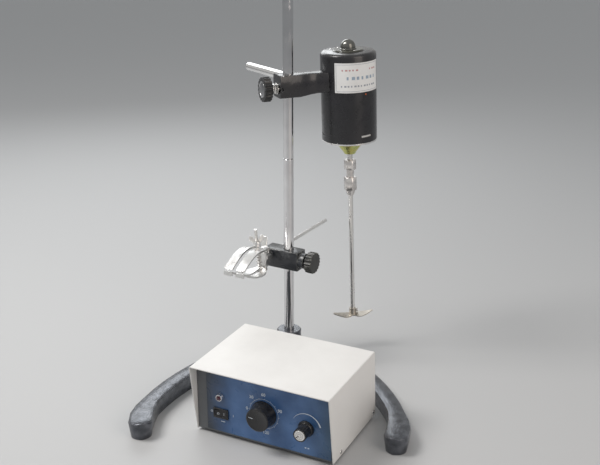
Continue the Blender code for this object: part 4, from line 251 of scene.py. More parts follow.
# Dust: a thin pale film that settles on what faces up, and is broken where a hand or a cloth has
# wiped it.
DUST, start, end = effect("settled dust", {"Amount": 0.2, "Scale": 35.0}, {"Mask": "Float"})
flat = put(DUST, "NewGeometry")
rise = put(DUST, "SeparateXYZ", {0: flat.outputs["Normal"]})
up = put(DUST, "MapRange", {"Value": rise.outputs["Z"], "From Min": 0.35, "From Max": 0.95})
place = put(DUST, "TexCoord")
wiped = put(DUST, "TexNoise", {
    "Vector": place.outputs["Object"], "Scale": start.outputs["Scale"], "Detail": 6.0, "Roughness": 0.65,
})
film = put(DUST, "MapRange", {"Value": wiped.outputs[0], "From Min": 0.40, "From Max": 0.75})
both = put(DUST, "Math", {0: up.outputs[0], 1: film.outputs[0]}, operation="MULTIPLY")
some = put(
    DUST, "Math", {0: both.outputs[0], 1: start.outputs["Amount"]}, operation="MULTIPLY", use_clamp=True
)
DUST.links.new(some.outputs[0], end.inputs["Mask"])
DUST_TONE = (0.42, 0.40, 0.37, 1.0)
COAT_ROUGHNESS = 0.08


def mixed(tree, share, first, second):
    """The colour between two others by this share."""
    return put(tree, "Mix", {0: share, 6: first, 7: second}, data_type="RGBA").outputs[2]


def finish(
    name, colour, shade, gloss, metallic=0.0, grain=(900.0, 0.00002), stretch=(1.0, 1.0, 1.0), drift=22.0,
    bare_and_lit_edge=None, wear=0.0, reach=0.0009, dust=0.0, coat=0.0, marks=60.0,
):
    """A material of two tones with grain, handling marks, pale worn edges that a few parts also use as a
    painted highlight, and dust.
    """
    material = bpy.data.materials.new(name)
    material.use_nodes = True
    tree = material.node_tree
    shader = tree.nodes["Principled BSDF"]
    shader.inputs["Metallic"].default_value = metallic
    shader.inputs["Coat Weight"].default_value = coat
    shader.inputs["Coat Roughness"].default_value = COAT_ROUGHNESS
    surface = put(tree, "Group", node_tree=GRAIN)
    for label, value in (("Scale", grain[0]), ("Stretch", stretch), ("Drift", drift)):
        surface.inputs[label].default_value = value
    edges = put(tree, "Group", node_tree=EDGE_WEAR_AND_HIGHLIGHT)
    edges.inputs["Reach"].default_value = reach
    edges.inputs["Amount"].default_value = wear
    touched = put(tree, "Group", node_tree=HANDLING)
    for label, value in (("Scale", marks), ("Low", gloss[0]), ("High", gloss[1])):
        touched.inputs[label].default_value = value
    shown = mixed(tree, surface.outputs["Tone"], (*colour, 1.0), (*shade, 1.0))
    if bare_and_lit_edge:
        shown = mixed(tree, edges.outputs["Mask"], shown, (*bare_and_lit_edge, 1.0))
    if dust:
        film = put(tree, "Group", node_tree=DUST)
        film.inputs["Amount"].default_value = dust
        shown = mixed(tree, film.outputs["Mask"], shown, DUST_TONE)
    tree.links.new(shown, shader.inputs["Base Color"])
    tree.links.new(touched.outputs["Roughness"], shader.inputs["Roughness"])
    relief = put(tree, "Bump", {
        "Strength": 1.0, "Distance": grain[1], "Height": surface.outputs["Height"],
        "Normal": edges.outputs["Normal"],
    })
    tree.links.new(relief.outputs[0], shader.inputs["Normal"])
    return material


CASTING_ENAMEL = finish(
    "hammered grey enamel", (0.062, 0.067, 0.078), (0.150, 0.158, 0.178), (0.09, 0.24), metallic=0.75,
    grain=(400.0, 0.00062), drift=85.0, bare_and_lit_edge=(0.40, 0.40, 0.41), wear=0.5, dust=0.06, coat=0.3, marks=110.0,
)
BRIGHT_STEEL = finish(
    "bright steel", (0.80, 0.79, 0.775), (0.68, 0.67, 0.66), (0.16, 0.30), metallic=1.0,
    grain=(1400.0, 0.00001), stretch=(1.0, 1.0, 0.12), dust=0.05,
)
dress(CASTING_ENAMEL, "base_casting")
dress(BRIGHT_STEEL, "base_lock_screw")

# The stand rod: two lengths of steel rod screwed end to end, chromed and polished, with the fine
# vertical rub marks that the clamps leave as they slide.
CHROME = finish(
    "polished chrome", (0.80, 0.80, 0.81), (0.70, 0.69, 0.70), (0.05, 0.16), metallic=1.0,
    grain=(2600.0, 0.000012), stretch=(1.0, 1.0, 0.03), drift=40.0, reach=0.0006,
)
dress(CHROME, "stand_rod_lower stand_rod_upper")

# The control box: a bent cover in warm white powder coat over a grey painted chassis, screwed
# together through its sides and standing on four rubber feet.
POWDER_WHITE = finish(
    "warm white powder coat", (0.84, 0.828, 0.80), (0.79, 0.775, 0.75), (0.44, 0.58),
    grain=(1500.0, 0.00005), drift=9.0, bare_and_lit_edge=(0.62, 0.60, 0.57), wear=0.25, dust=0.06, reach=0.0012,
)
CHASSIS_GREY = finish(
    "grey painted sheet", (0.105, 0.110, 0.116), (0.135, 0.140, 0.146), (0.36, 0.50),
    grain=(1300.0, 0.00004), drift=12.0, bare_and_lit_edge=(0.3, 0.3, 0.3), wear=0.2,
)
SOFT_RUBBER = finish(
    "black rubber", (0.020, 0.020, 0.021), (0.032, 0.032, 0.032), (0.62, 0.82),
    grain=(1800.0, 0.00006), drift=60.0, dust=0.25,
)
dress(POWDER_WHITE, "box_cover", FLAT_SHADING)
dress(CHASSIS_GREY, "box_chassis", FLAT_SHADING)
dress(SOFT_RUBBER, "rubber_foot_front_left rubber_foot_front_right")
dress(SOFT_RUBBER, "rubber_foot_back_left rubber_foot_back_right")


def piece(name, form, body, finish, crease=38.0):
    """A finished piece from a bmesh, riding on a body."""
    mesh = bpy.data.meshes.new(name)
    form.to_mesh(mesh)
    form.free()
    mesh.polygons.foreach_set("use_smooth", [True] * len(mesh.polygons))
    mesh.set_sharp_from_angle(angle=math.radians(crease))
    mesh.materials.append(finish)
    made = bpy.data.objects.new(name, mesh)
    scene.collection.objects.link(made)
    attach(made, body)
    return made


SCREW_RADIUS = 0.0032
SCREW_HEIGHT = 0.0014
SCREW_SINK = 0.0004
SCREW_SIDES = 32
SCREW_PROFILE = ((1.0, 0.0), (1.0, 0.35), (0.93, 0.62), (0.74, 0.86), (0.46, 0.98))
SLOT_WIDTH = 0.0007
SLOT_DEPTH = 0.0008
SLOT_REACH_SHARE = 0.62


def screw_head(name, place, outward, body, finish, radius=SCREW_RADIUS, turn=0.3):
    """A domed screw head with a cross recess, seated on a face."""
    form = bmesh.new()
    rings = []
    height = SCREW_HEIGHT * radius / SCREW_RADIUS
    for share, rise in SCREW_PROFILE:
        ring = [
            form.verts.new((
                radius * share * math.cos(math.tau * i / SCREW_SIDES),
                radius * share * math.sin(math.tau * i / SCREW_SIDES), height * rise,
            ))
            for i in range(SCREW_SIDES)
        ]
        rings.append(ring)
    for low, high in zip(rings, rings[1:]):
        for i in range(SCREW_SIDES):
            j = (i + 1) % SCREW_SIDES
            form.faces.new((low[i], low[j], high[j], high[i]))
    form.faces.new(reversed(rings[0]))
    arm, half, floor_height = radius * SLOT_REACH_SHARE, SLOT_WIDTH / 2, height - SLOT_DEPTH
    corners = []
    for k in range(4):
        c, s = math.cos(math.pi / 2 * k), math.sin(math.pi / 2 * k)
        for x, y in ((half, -half), (arm, -half), (arm, half)):
            corners.append((x * c - y * s, x * s + y * c))
    top = [form.verts.new((x, y, height)) for x, y in corners]
    low = [form.verts.new((x, y, floor_height)) for x, y in corners]
    for i in range(len(top)):
        j = (i + 1) % len(top)
        form.faces.new((top[i], low[i], low[j], top[j]))
    form.faces.new(low)
    edges = [form.edges.get((top[i], top[(i + 1) % len(top)])) for i in range(len(top))]
    edges += [form.edges.get((rings[-1][i], rings[-1][(i + 1) % SCREW_SIDES])) for i in range(SCREW_SIDES)]
    bmesh.ops.bridge_loops(form, edges=edges)
    bmesh.ops.recalc_face_normals(form, faces=form.faces)
    axis = Vector(outward).normalized()
    where = axis.to_track_quat("Z", "Y").to_matrix().to_4x4()
    where.translation = Vector(place) - axis * SCREW_SINK
    bmesh.ops.transform(form, matrix=where @ Matrix.Rotation(turn, 4, "Z"), verts=form.verts)
    return piece(name, form, body, finish)


cover_low, cover_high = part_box("box_cover")
SIDE_SCREW_HEIGHT = 0.0085
SIDE_SCREW_PLACES = (("front", -0.2224), ("back", -0.1135))
SIDE_SLOT_TURN = 0.3
SIDE_SLOT_SWING = 0.5
for side, x, way in (("left", cover_low.x, -1), ("right", cover_high.x, 1)):
    for end, y in SIDE_SCREW_PLACES:
        screw_head(
            f"cover_screw_{side}_{end}", (x, y, SIDE_SCREW_HEIGHT), (way, 0, 0),
            "stand_and_control_box", BRIGHT_STEEL, turn=SIDE_SLOT_TURN + SIDE_SLOT_SWING * way + y,
        )

# The front plate: thin sheet metal laid on the chassis and printed in mottled blue, with white marks for
# the timer's minutes and the speed's sweep. Towards its left edge it fades to dark grey, partly a grey
# margin and partly painted shade under the cover's side, and it also darkens towards its right edge.
plate_low, plate_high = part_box("front_plate")
BOX_CENTRE_X = 0.087
BOX_FLOOR = 0.003
PANEL = Vector((BOX_CENTRE_X, plate_low.y, BOX_FLOOR))
LEFT_SHADE_FADE = (plate_low.x + 0.040, plate_low.x - 0.006)
RIGHT_FADE = (plate_high.x - 0.045, plate_high.x + 0.012)
RIGHT_FADE_SHARE = 0.75
LEFT_MARGIN_AND_SHADE_TONE = (0.030, 0.036, 0.042, 1.0)
RIGHT_TONE = (0.030, 0.062, 0.080, 1.0)
FADE_DRIFT = 0.016
PLATE_BLUE = finish(
    "blue printed plate", (0.036, 0.102, 0.250), (0.084, 0.180, 0.380), (0.26, 0.40),
    grain=(1500.0, 0.00001), drift=34.0, coat=0.25,
)
tree = PLATE_BLUE.node_tree
shader = tree.nodes["Principled BSDF"]
printed = shader.inputs["Base Color"].links[0].from_socket
place = put(tree, "TexCoord")
across = put(tree, "SeparateXYZ", {0: place.outputs["Object"]})
cloud = put(tree, "TexNoise", {"Scale": 26.0, "Detail": 4.0, "Vector": place.outputs["Object"]})
drawn = put(tree, "MapRange", {"Value": cloud.outputs[0], "To Min": -FADE_DRIFT, "To Max": FADE_DRIFT})
shifted = put(tree, "Math", {0: across.outputs["X"], 1: drawn.outputs[0]}, operation="ADD")
# Towards the left edge the plate darkens: partly its grey margin, partly painted shade under the cover's
# side.
left = put(tree, "MapRange", {
    "Value": shifted.outputs[0], "From Min": LEFT_SHADE_FADE[0], "From Max": LEFT_SHADE_FADE[1],
}, interpolation_type="SMOOTHSTEP")
right_end = put(tree, "MapRange", {
    "Value": shifted.outputs[0], "From Min": RIGHT_FADE[0], "From Max": RIGHT_FADE[1],
    "To Max": RIGHT_FADE_SHARE,
}, interpolation_type="SMOOTHSTEP")
toned = mixed(tree, left.outputs[0], printed, LEFT_MARGIN_AND_SHADE_TONE)
toned = mixed(tree, right_end.outputs[0], toned, RIGHT_TONE)
tree.links.new(toned, shader.inputs["Base Color"])
dress(PLATE_BLUE, "front_plate", FLAT_SHADING)

INK = finish(
    "white ink", (0.76, 0.81, 0.86), (0.68, 0.74, 0.80), (0.40, 0.55), grain=(2500.0, 0.00001), drift=120.0
)
INK_THICKNESS = 0.00008
INK_MERGE = 0.0000005
TIMER_CENTRE = (0.0015, 0.047)
TIMER_ARC, TIMER_ARC_WIDTH = 0.0208, 0.00035
TIMER_ARC_DEGREES = range(-88, 182, 6)
TIMER_TICK_END, TIMER_TICK_WIDTH = 0.0224, 0.0004
TIMER_TICK_DEGREES = range(-84, 182, 22)
SPEED_CENTRE = (0.062, 0.042)
SPEED_ARC = 0.0205
SPEED_ARC_WIDTH, SPEED_ARC_GAIN = 0.0003, 0.0016
SPEED_ARC_DEGREES = range(-62, 76, 3)
NUMERAL = 0.0062
NUMERAL_BOLDNESS = 0.00012


def strip(form, points, widths, front=0.0):
    """A flat band of ink along points on the plate or on a knob's front, with its own thickness."""
    rows = []
    for i, point in enumerate(points):
        before, after = Vector(points[max(i - 1, 0)]), Vector(points[min(i + 1, len(points) - 1)])
        side = (after - before).normalized().orthogonal() * widths[i] / 2
        row = []
        for end in (Vector(point) + side, Vector(point) - side):
            for depth in (0, -INK_THICKNESS):
                row.append(form.verts.new((PANEL.x + end.x, PANEL.y - front + depth, PANEL.z + end.y)))
        rows.append(row)
    for a, b in zip(rows, rows[1:]):
        for i, j in ((0, 1), (1, 3), (3, 2), (2, 0)):
            form.faces.new((a[i], a[j], b[j], b[i]))
    form.faces.new((rows[0][0], rows[0][1], rows[0][3], rows[0][2]))
    form.faces.new((rows[-1][0], rows[-1][2], rows[-1][3], rows[-1][1]))


def numeral(form, text, x, z, size=NUMERAL):
    """Raised numerals centred at a place on the plate."""
    curve = bpy.data.curves.new("numeral", "FONT")
    curve.body = text
    curve.size = size
    curve.align_x, curve.align_y = "CENTER", "CENTER"
    curve.extrude = INK_THICKNESS / 2
    curve.offset = NUMERAL_BOLDNESS
    curve.resolution_u = 3
    holder = bpy.data.objects.new("numeral", curve)
    scene.collection.objects.link(holder)
    mesh = bpy.data.meshes.new_from_object(holder.evaluated_get(bpy.context.evaluated_depsgraph_get()))
    middle = Matrix.Translation((PANEL.x + x, PANEL.y - INK_THICKNESS / 2, PANEL.z + z))
    mesh.transform(middle @ Matrix.Rotation(math.pi / 2, 4, "X"))
    form.from_mesh(mesh)
    bpy.data.objects.remove(holder)
    bpy.data.meshes.remove(mesh)
    bpy.data.curves.remove(curve)


def on_dial(centre, radius, degrees):
    """A place on the plate at this clockwise angle from the top of a dial."""
    angle = math.radians(degrees)
    return centre[0] + radius * math.sin(angle), centre[1] + radius * math.cos(angle)


marks = bmesh.new()
MINUTES = (
    ("0", -0.0232, 0.049), ("30", -0.0164, 0.067), ("60", 0.001, 0.0742), ("90", 0.0247, 0.0565),
    ("120", 0.0042, 0.0203),
)
for text, x, z in MINUTES:
    numeral(marks, text, x, z)
timer_arc = [on_dial(TIMER_CENTRE, TIMER_ARC, degrees) for degrees in TIMER_ARC_DEGREES]
strip(marks, timer_arc, [TIMER_ARC_WIDTH] * len(timer_arc))
for degrees in TIMER_TICK_DEGREES:
    tick = [on_dial(TIMER_CENTRE, radius, degrees) for radius in (TIMER_ARC, TIMER_TICK_END)]
    strip(marks, tick, [TIMER_TICK_WIDTH] * 2)
sweep = [on_dial(SPEED_CENTRE, SPEED_ARC, degrees) for degrees in SPEED_ARC_DEGREES]
strip(marks, sweep, [SPEED_ARC_WIDTH + SPEED_ARC_GAIN * i / len(sweep) for i in range(len(sweep))])
SWITCH_MARKS = (("I", -0.0440, 0.0315, 0.0044), ("O", -0.0765, 0.0315, 0.0040))
for text, x, z, size in SWITCH_MARKS:
    numeral(marks, text, x, z, size)
DASHES = (
    (-0.0625, -0.0565, 0.0195, 0.0009), (0.0600, 0.0622, 0.0135, 0.0016),
    (0.0640, 0.0662, 0.0135, 0.0016),
)
for first, last, height, width in DASHES:
    strip(marks, [(first, height), (last, height)], [width] * 2)
bmesh.ops.remove_doubles(marks, verts=marks.verts, dist=INK_MERGE)
bmesh.ops.recalc_face_normals(marks, faces=marks.faces)
piece("panel_marks", marks, "stand_and_control_box", INK, crease=20.0)

# The pilot lamp: a turned chromed bezel, held by a nut behind the plate, with a domed lens moulded
# in dark red plastic pressed into it.
LENS_RED = finish(
    "dark red lens", (0.042, 0.003, 0.012), (0.075, 0.006, 0.018), (0.06, 0.14),
    grain=(500.0, 0.00003), drift=300.0, coat=1.0,
)
dress(CHROME, "lamp_bezel")
dress(LENS_RED, "lamp_lens")

# The power switch: a moulded black frame clipped into the plate and a rocker on two pins, with its
# two states moulded in white.
MOULDED_BLACK = finish(
    "moulded black plastic", (0.012, 0.012, 0.013), (0.020, 0.020, 0.021), (0.24, 0.42),
    grain=(1600.0, 0.00003), drift=50.0, bare_and_lit_edge=(0.07, 0.07, 0.072), wear=0.6, reach=0.0006, dust=0.06,
)
dress(MOULDED_BLACK, "switch_frame switch_rocker")
ROCKER_RING = 0.0013
ROCKER_RING_SIDES = 20
ROCKER_BAR = 0.0017
ROCKER_LINE = 0.0005
LEFT_FACE, LEFT_FACE_TURN = Vector((0.0219, -0.24826, 0.0345)), 23.3
RIGHT_FACE, RIGHT_FACE_TURN = Vector((0.0297, -0.24702, 0.0345)), -5.2
rocker_marks = bmesh.new()
ring_angles = [math.tau * i / ROCKER_RING_SIDES for i in range(ROCKER_RING_SIDES + 1)]
off_ring = [(ROCKER_RING * math.cos(angle), ROCKER_RING * math.sin(angle)) for angle in ring_angles]
on_bar = [(0, -ROCKER_BAR), (0, ROCKER_BAR)]
for points, middle, turn in (
    (off_ring, LEFT_FACE, LEFT_FACE_TURN), (on_bar, RIGHT_FACE, RIGHT_FACE_TURN)
):
    drawn_before = len(rocker_marks.verts)
    strip(rocker_marks, points, [ROCKER_LINE] * len(points))
    rocker_marks.verts.ensure_lookup_table()
    tilt = Matrix.Rotation(math.radians(turn), 4, "Z")
    onto = Matrix.Translation(middle) @ tilt @ Matrix.Translation(-PANEL)
    bmesh.ops.transform(rocker_marks, matrix=onto, verts=rocker_marks.verts[drawn_before:])
bmesh.ops.recalc_face_normals(rocker_marks, faces=rocker_marks.faces)
piece("rocker_marks", rocker_marks, "power_switch", INK, crease=20.0)

# The timer: a wind-up works behind the plate, with its spindle and a dished knob of glossy moulded
# plastic. A line filled with white paint shows where it points.
KNOB_GLOSS = finish(
    "glossy knob plastic", (0.008, 0.008, 0.009), (0.014, 0.014, 0.015), (0.16, 0.32),
    grain=(1200.0, 0.00002), drift=40.0, bare_and_lit_edge=(0.06, 0.06, 0.06), wear=0.5, reach=0.0006,
    dust=0.10, coat=0.2,
)
NICKEL = finish(
    "nickel plate", (0.90, 0.89, 0.87), (0.80, 0.79, 0.77), (0.14, 0.30), metallic=1.0,
    grain=(700.0, 0.00003), drift=70.0, reach=0.0005,
)
dress(KNOB_GLOSS, "timer_knob")
dress(BRIGHT_STEEL, "timer_body timer_spindle")
TIMER_FACE = 0.0182
TIMER_REST = -82
TIMER_LINE = (0.0065, 0.0128)
TIMER_LINE_WIDTHS = (0.0009, 0.0007)
pointer = bmesh.new()
pointed = [on_dial(TIMER_CENTRE, radius, TIMER_REST) for radius in TIMER_LINE]
strip(pointer, pointed, TIMER_LINE_WIDTHS, TIMER_FACE)
bmesh.ops.recalc_face_normals(pointer, faces=pointer.faces)
piece("timer_pointer", pointer, "timer_dial", INK, crease=20.0)

# The speed control: a wire-wound control behind the plate, with a fluted knob of the same plastic
# and a spun metal cap pressed into its front, scored with a line that shows where it points.
dress(KNOB_GLOSS, "speed_knob")
dress(NICKEL, "speed_knob_cap")
dress(BRIGHT_STEEL, "speed_control_body speed_spindle")
DARK_FILL = finish(
    "dark paint in a scored line", (0.016, 0.016, 0.017), (0.03, 0.03, 0.03), (0.4, 0.6),
    grain=(2500.0, 0.00001),
)
SPEED_FACE = 0.0198
SPEED_REST = -128
SPEED_LINE, SPEED_LINE_WIDTH = (0.0012, 0.0066), 0.0008
SPUN_RINGS, SPUN_RING_WIDTH = (0.0026, 0.0048), 0.00025
SPUN_RING_DEGREES = range(0, 361, 12)
scored = bmesh.new()
outward = [on_dial(SPEED_CENTRE, radius, SPEED_REST) for radius in SPEED_LINE]
strip(scored, outward, [SPEED_LINE_WIDTH] * 2, SPEED_FACE)
for radius in SPUN_RINGS:
    around = [on_dial(SPEED_CENTRE, radius, degrees) for degrees in SPUN_RING_DEGREES]
    strip(scored, around, [SPUN_RING_WIDTH] * len(around), SPEED_FACE)
bmesh.ops.recalc_face_normals(scored, faces=scored.faces)
piece("speed_cap_lines", scored, "speed_dial", DARK_FILL, crease=20.0)

# Inside the box: a green circuit board on pillars screwed to the chassis floor, and on it a small
# transformer, a stack of iron laminations clamped round its winding.
BOARD_GREEN = finish(
    "green circuit board", (0.010, 0.085, 0.035), (0.018, 0.12, 0.05), (0.25, 0.40),
    grain=(700.0, 0.00003), drift=180.0,
)
IRON_STACK = finish(
    "laminated iron", (0.20, 0.20, 0.205), (0.27, 0.265, 0.26), (0.40, 0.60), metallic=0.8,
    grain=(1.0, 0.0001), stretch=(1.0, 1.0, 1500.0), drift=60.0,
)
dress(BOARD_GREEN, "circuit_board", FLAT_SHADING)
dress(IRON_STACK, "transformer")

# The back of the box: a moulded gland for the mains lead, a moulded fuse holder and a plated socket
# for the motor's lead, each nutted through the chassis, and four small screws in its corners.
dress(MOULDED_BLACK, "mains_cord_gland fuse_holder")
dress(NICKEL, "motor_lead_socket")
BACK_SLOPE = 0.0812
BACK_Y, BACK_Y_HEIGHT = -0.11328, 0.037
BACK_WAY = (0, 0.997, 0.081)
BACK_SCREW_RADIUS = 0.0026
BACK_SCREW_PLACES = (("left", 0.002), ("right", 0.172))
BACK_SCREW_LEVELS = (("low", 0.013), ("high", 0.088))
BACK_SLOT_SWING = (7, 9)
for side, x in BACK_SCREW_PLACES:
    for level, z in BACK_SCREW_LEVELS:
        spot = (x, BACK_Y - (z - BACK_Y_HEIGHT) * BACK_SLOPE, z)
        screw_head(
            f"back_screw_{side}_{level}", spot, BACK_WAY, "stand_and_control_box", BRIGHT_STEEL,
            radius=BACK_SCREW_RADIUS, turn=x * BACK_SLOT_SWING[0] + z * BACK_SLOT_SWING[1],
        )

# The motor bracket: a casting in gloss black enamel that slides on the rod, with a moulded lock knob
# on a threaded stud, the stud's washer and nut, and a polished bar, screwed in, to hold it by.
BLACK_ENAMEL = finish(
    "gloss black enamel", (0.012, 0.012, 0.014), (0.020, 0.019, 0.023), (0.22, 0.36),
    grain=(420.0, 0.00005), drift=26.0, bare_and_lit_edge=(0.22, 0.22, 0.23), wear=0.55, reach=0.0011,
    dust=0.14, coat=0.25,
)
POLISHED_STEEL = finish(
    "polished steel bar", (0.88, 0.87, 0.86), (0.78, 0.77, 0.76), (0.10, 0.22), metallic=1.0,
    grain=(1800.0, 0.000008), drift=50.0, reach=0.0006,
)
CAP_CHROME = finish(
    "dulled chrome cap", (0.44, 0.44, 0.45), (0.30, 0.30, 0.31), (0.10, 0.24), metallic=1.0,
    grain=(1200.0, 0.00002), drift=140.0, bare_and_lit_edge=(0.66, 0.65, 0.63), wear=0.8, reach=0.0007,
)
dress(BLACK_ENAMEL, "motor_bracket")
dress(POLISHED_STEEL, "grip_bar")
dress(BRIGHT_STEEL, "bracket_lock_stud")
dress(MOULDED_BLACK, "bracket_lock_knob")
dress(CAP_CHROME, "bracket_lock_knob_cap")


def turned_ring(name, profile, axis_point, outward, body, finish, sides=36):
    """A ring turned about an axis from (radius, height) points; few sides make a nut."""
    form = bmesh.new()
    rings = [
        [
            form.verts.new((r * math.cos(math.tau * i / sides), r * math.sin(math.tau * i / sides), z))
            for i in range(sides)
        ]
        for r, z in profile
    ]
    for low, high in zip(rings, rings[1:] + rings[:1]):
        for i in range(sides):
            j = (i + 1) % sides
            form.faces.new((low[i], low[j], high[j], high[i]))
    bmesh.ops.recalc_face_normals(form, faces=form.faces)
    where = Vector(outward).normalized().to_track_quat("Z", "Y").to_matrix().to_4x4()
    where.translation = Vector(axis_point)
    bmesh.ops.transform(form, matrix=where, verts=form.verts)
    return piece(name, form, body, finish, crease=25.0)


STUD_FOOT = Vector((-0.01104, -0.01226, 0.4195))
STUD_WAY = Vector((-0.669, -0.743, 0.0))
WASHER = (
    (0.0043, 0.0001), (0.0078, 0.0001), (0.0080, 0.0003), (0.0080, 0.0011), (0.0078, 0.0013),
    (0.0043, 0.0013),
)
LOCK_NUT = (
    (0.0043, 0.0014), (0.0068, 0.0014), (0.0072, 0.0020), (0.0072, 0.0052), (0.0068, 0.0058),
    (0.0043, 0.0058),
)
turned_ring(
    "bracket_stud_washer", WASHER, STUD_FOOT, STUD_WAY, "bracket_and_motor", NICKEL
)
turned_ring(
    "bracket_stud_nut", LOCK_NUT, STUD_FOOT, STUD_WAY, "bracket_lock", NICKEL, sides=6
)

# The motor: a drawn steel casing in gloss black over a commutator motor, with a disc and a domed cap
# on its top, a bright end plate below, and the yellow plated housing of its lower bearing.
YELLOW_PLATED = finish(
    "yellow plated steel", (0.60, 0.53, 0.17), (0.50, 0.56, 0.22), (0.16, 0.34), metallic=1.0,
    grain=(900.0, 0.00002), drift=120.0, reach=0.0005,
)
COPPER = finish(
    "copper bars", (0.72, 0.36, 0.20), (0.55, 0.25, 0.14), (0.28, 0.45), metallic=1.0, drift=150.0
)
CAP_METAL = finish(
    "dull grey metal", (0.21, 0.21, 0.195), (0.14, 0.14, 0.13), (0.14, 0.28), metallic=0.9,
    grain=(700.0, 0.00003), drift=90.0, dust=0.08, reach=0.0007,
)
DISC_OLIVE = finish(
    "olive black enamel", (0.030, 0.031, 0.020), (0.044, 0.045, 0.030), (0.16, 0.30),
    grain=(520.0, 0.00004), drift=50.0, bare_and_lit_edge=(0.2, 0.2, 0.18), wear=0.5, dust=0.18, coat=0.4,
)
dress(BLACK_ENAMEL, "motor_casing")
dress(DISC_OLIVE, "motor_top_disc")
dress(CAP_METAL, "motor_dome_cap")
dress(POLISHED_STEEL, "motor_end_plate")
dress(YELLOW_PLATED, "bearing_housing")
dress(BRIGHT_STEEL, "lower_bearing upper_bearing motor_shaft")
dress(IRON_STACK, "field_magnet_ring armature")
dress(MOULDED_BLACK, "brush_ring")
dress(COPPER, "commutator")

# The motor's label: white paper stuck round the casing, printed with a grey ruled border and with
# rows of small blocks in grey, red and blue.
MOTOR_FOOT = Vector((0.07309, 0.08118, 0.00031))
MOTOR_LEAN = math.radians(2.2)
MOTOR_TURN = math.radians(48)
MOTOR_STANDS = Matrix.Rotation(MOTOR_TURN, 4, "Z") @ Matrix.Rotation(-MOTOR_LEAN, 4, "Y")
MOTOR_PLACE = Matrix.Translation(MOTOR_FOOT) @ MOTOR_STANDS
STICKER_RADIUS = 0.04045
STICKER_LIFT = 0.00018
STICKER_FROM, STICKER_TO = math.radians(-142.5), math.radians(-38.0)
STICKER_LOW, STICKER_HIGH = 0.4132, 0.4553
PAPER = finish(
    "white paper label", (0.90, 0.895, 0.88), (0.86, 0.855, 0.84), (0.30, 0.42), grain=(1800.0, 0.00001),
    drift=60.0, coat=0.2,
)
PRINT_GREY = finish(
    "grey printing ink", (0.32, 0.34, 0.38), (0.42, 0.44, 0.48), (0.40, 0.55),
    grain=(2500.0, 0.00001), drift=200.0,
)
PRINT_RED = finish(
    "red printing ink", (0.50, 0.22, 0.22), (0.62, 0.36, 0.35), (0.40, 0.55),
    grain=(2500.0, 0.00001), drift=200.0,
)
PRINT_BLUE = finish(
    "blue printing ink", (0.28, 0.37, 0.47), (0.42, 0.50, 0.58), (0.40, 0.55),
    grain=(2500.0, 0.00001), drift=200.0,
)


def band(form, low, high, first, last, radius, thickness, columns=40):
    """A thin band wrapped round the motor's casing between two heights and two angles."""
    rows = []
    for i in range(columns + 1):
        angle = first + (last - first) * i / columns
        row = []
        for r, z in ((radius, low), (radius + thickness, low), (radius + thickness, high), (radius, high)):
            row.append(form.verts.new((r * math.cos(angle), r * math.sin(angle), z)))
        rows.append(row)
    for a, b in zip(rows, rows[1:]):
        for i in range(4):
            j = (i + 1) % 4
            form.faces.new((a[i], b[i], b[j], a[j]))
    form.faces.new(rows[0])
    form.faces.new(reversed(rows[-1]))


def on_motor(name, form, finish):
    """A form given in the motor's own frame, set on the leaning motor."""
    bmesh.ops.recalc_face_normals(form, faces=form.faces)
    bmesh.ops.transform(form, matrix=MOTOR_PLACE, verts=form.verts)
    return piece(name, form, "bracket_and_motor", finish, crease=30.0)


label = bmesh.new()
band(label, STICKER_LOW, STICKER_HIGH, STICKER_FROM, STICKER_TO, STICKER_RADIUS, STICKER_LIFT)
on_motor("motor_label", label, PAPER)

RULE = 0.0005
BLOCK_SHARE, BLOCK_UNEVENNESS = 0.38, 0.14
PRINT_RADIUS = STICKER_RADIUS + STICKER_LIFT
PRINT_LIFT = 0.00005
BORDER_INSET = 0.0022
border_turn = BORDER_INSET / STICKER_RADIUS
print_from, print_to = STICKER_FROM + border_turn, STICKER_TO - border_turn
print_low, print_high = STICKER_LOW + BORDER_INSET, STICKER_HIGH - BORDER_INSET
rules = bmesh.new()
for z in (print_low, print_high):
    band(rules, z - RULE / 2, z + RULE / 2, print_from, print_to, PRINT_RADIUS, PRINT_LIFT)
for turn in (print_from, print_to):
    half = RULE / 2 / STICKER_RADIUS
    band(
        rules, print_low + RULE, print_high - RULE, turn - half, turn + half, PRINT_RADIUS, PRINT_LIFT,
        columns=2,
    )


def printed_row(form, share, height, first_share, last_share, count):
    """A row of print on the label, as small blocks of uneven width."""
    z = print_low + (print_high - print_low) * share
    pitch = (print_to - print_from) * (last_share - first_share) / count
    for i in range(count):
        start = print_from + (print_to - print_from) * first_share + pitch * i
        width = pitch * (BLOCK_SHARE + BLOCK_UNEVENNESS * (i * 5 % 3))
        band(
            form, z - height / 2, z + height / 2, start, start + width, PRINT_RADIUS, PRINT_LIFT,
            columns=2,
        )


printed_row(rules, share=0.19, height=0.0024, first_share=0.10, last_share=0.92, count=12)
on_motor("label_rules", rules, PRINT_GREY)
heading = bmesh.new()
printed_row(heading, share=0.79, height=0.0022, first_share=0.12, last_share=0.48, count=5)
printed_row(heading, share=0.79, height=0.0022, first_share=0.72, last_share=0.94, count=3)
on_motor("label_heading", heading, PRINT_RED)
title = bmesh.new()
printed_row(title, share=0.49, height=0.0044, first_share=0.22, last_share=0.94, count=7)
on_motor("label_title", title, PRINT_BLUE)

# The inspection dot: a small square touch of orange paint on the casing, just under the label, put
# on by hand once the motor has been tested.
DOT_ORANGE = finish(
    "orange paint dot", (0.62, 0.13, 0.03), (0.50, 0.09, 0.02), (0.25, 0.4),
    grain=(1500.0, 0.00002), drift=300.0,
)
DOT_TURN, DOT_HEIGHT, DOT_HALF = math.radians(-77.8), 0.4097, 0.0011
DOT_RADIUS, DOT_LIFT = 0.04022, 0.0002
dot = bmesh.new()
half = DOT_HALF / STICKER_RADIUS
band(
    dot, DOT_HEIGHT - DOT_HALF, DOT_HEIGHT + DOT_HALF, DOT_TURN - half, DOT_TURN + half,
    DOT_RADIUS, DOT_LIFT, columns=4,
)
on_motor("orange_dot", dot, DOT_ORANGE)
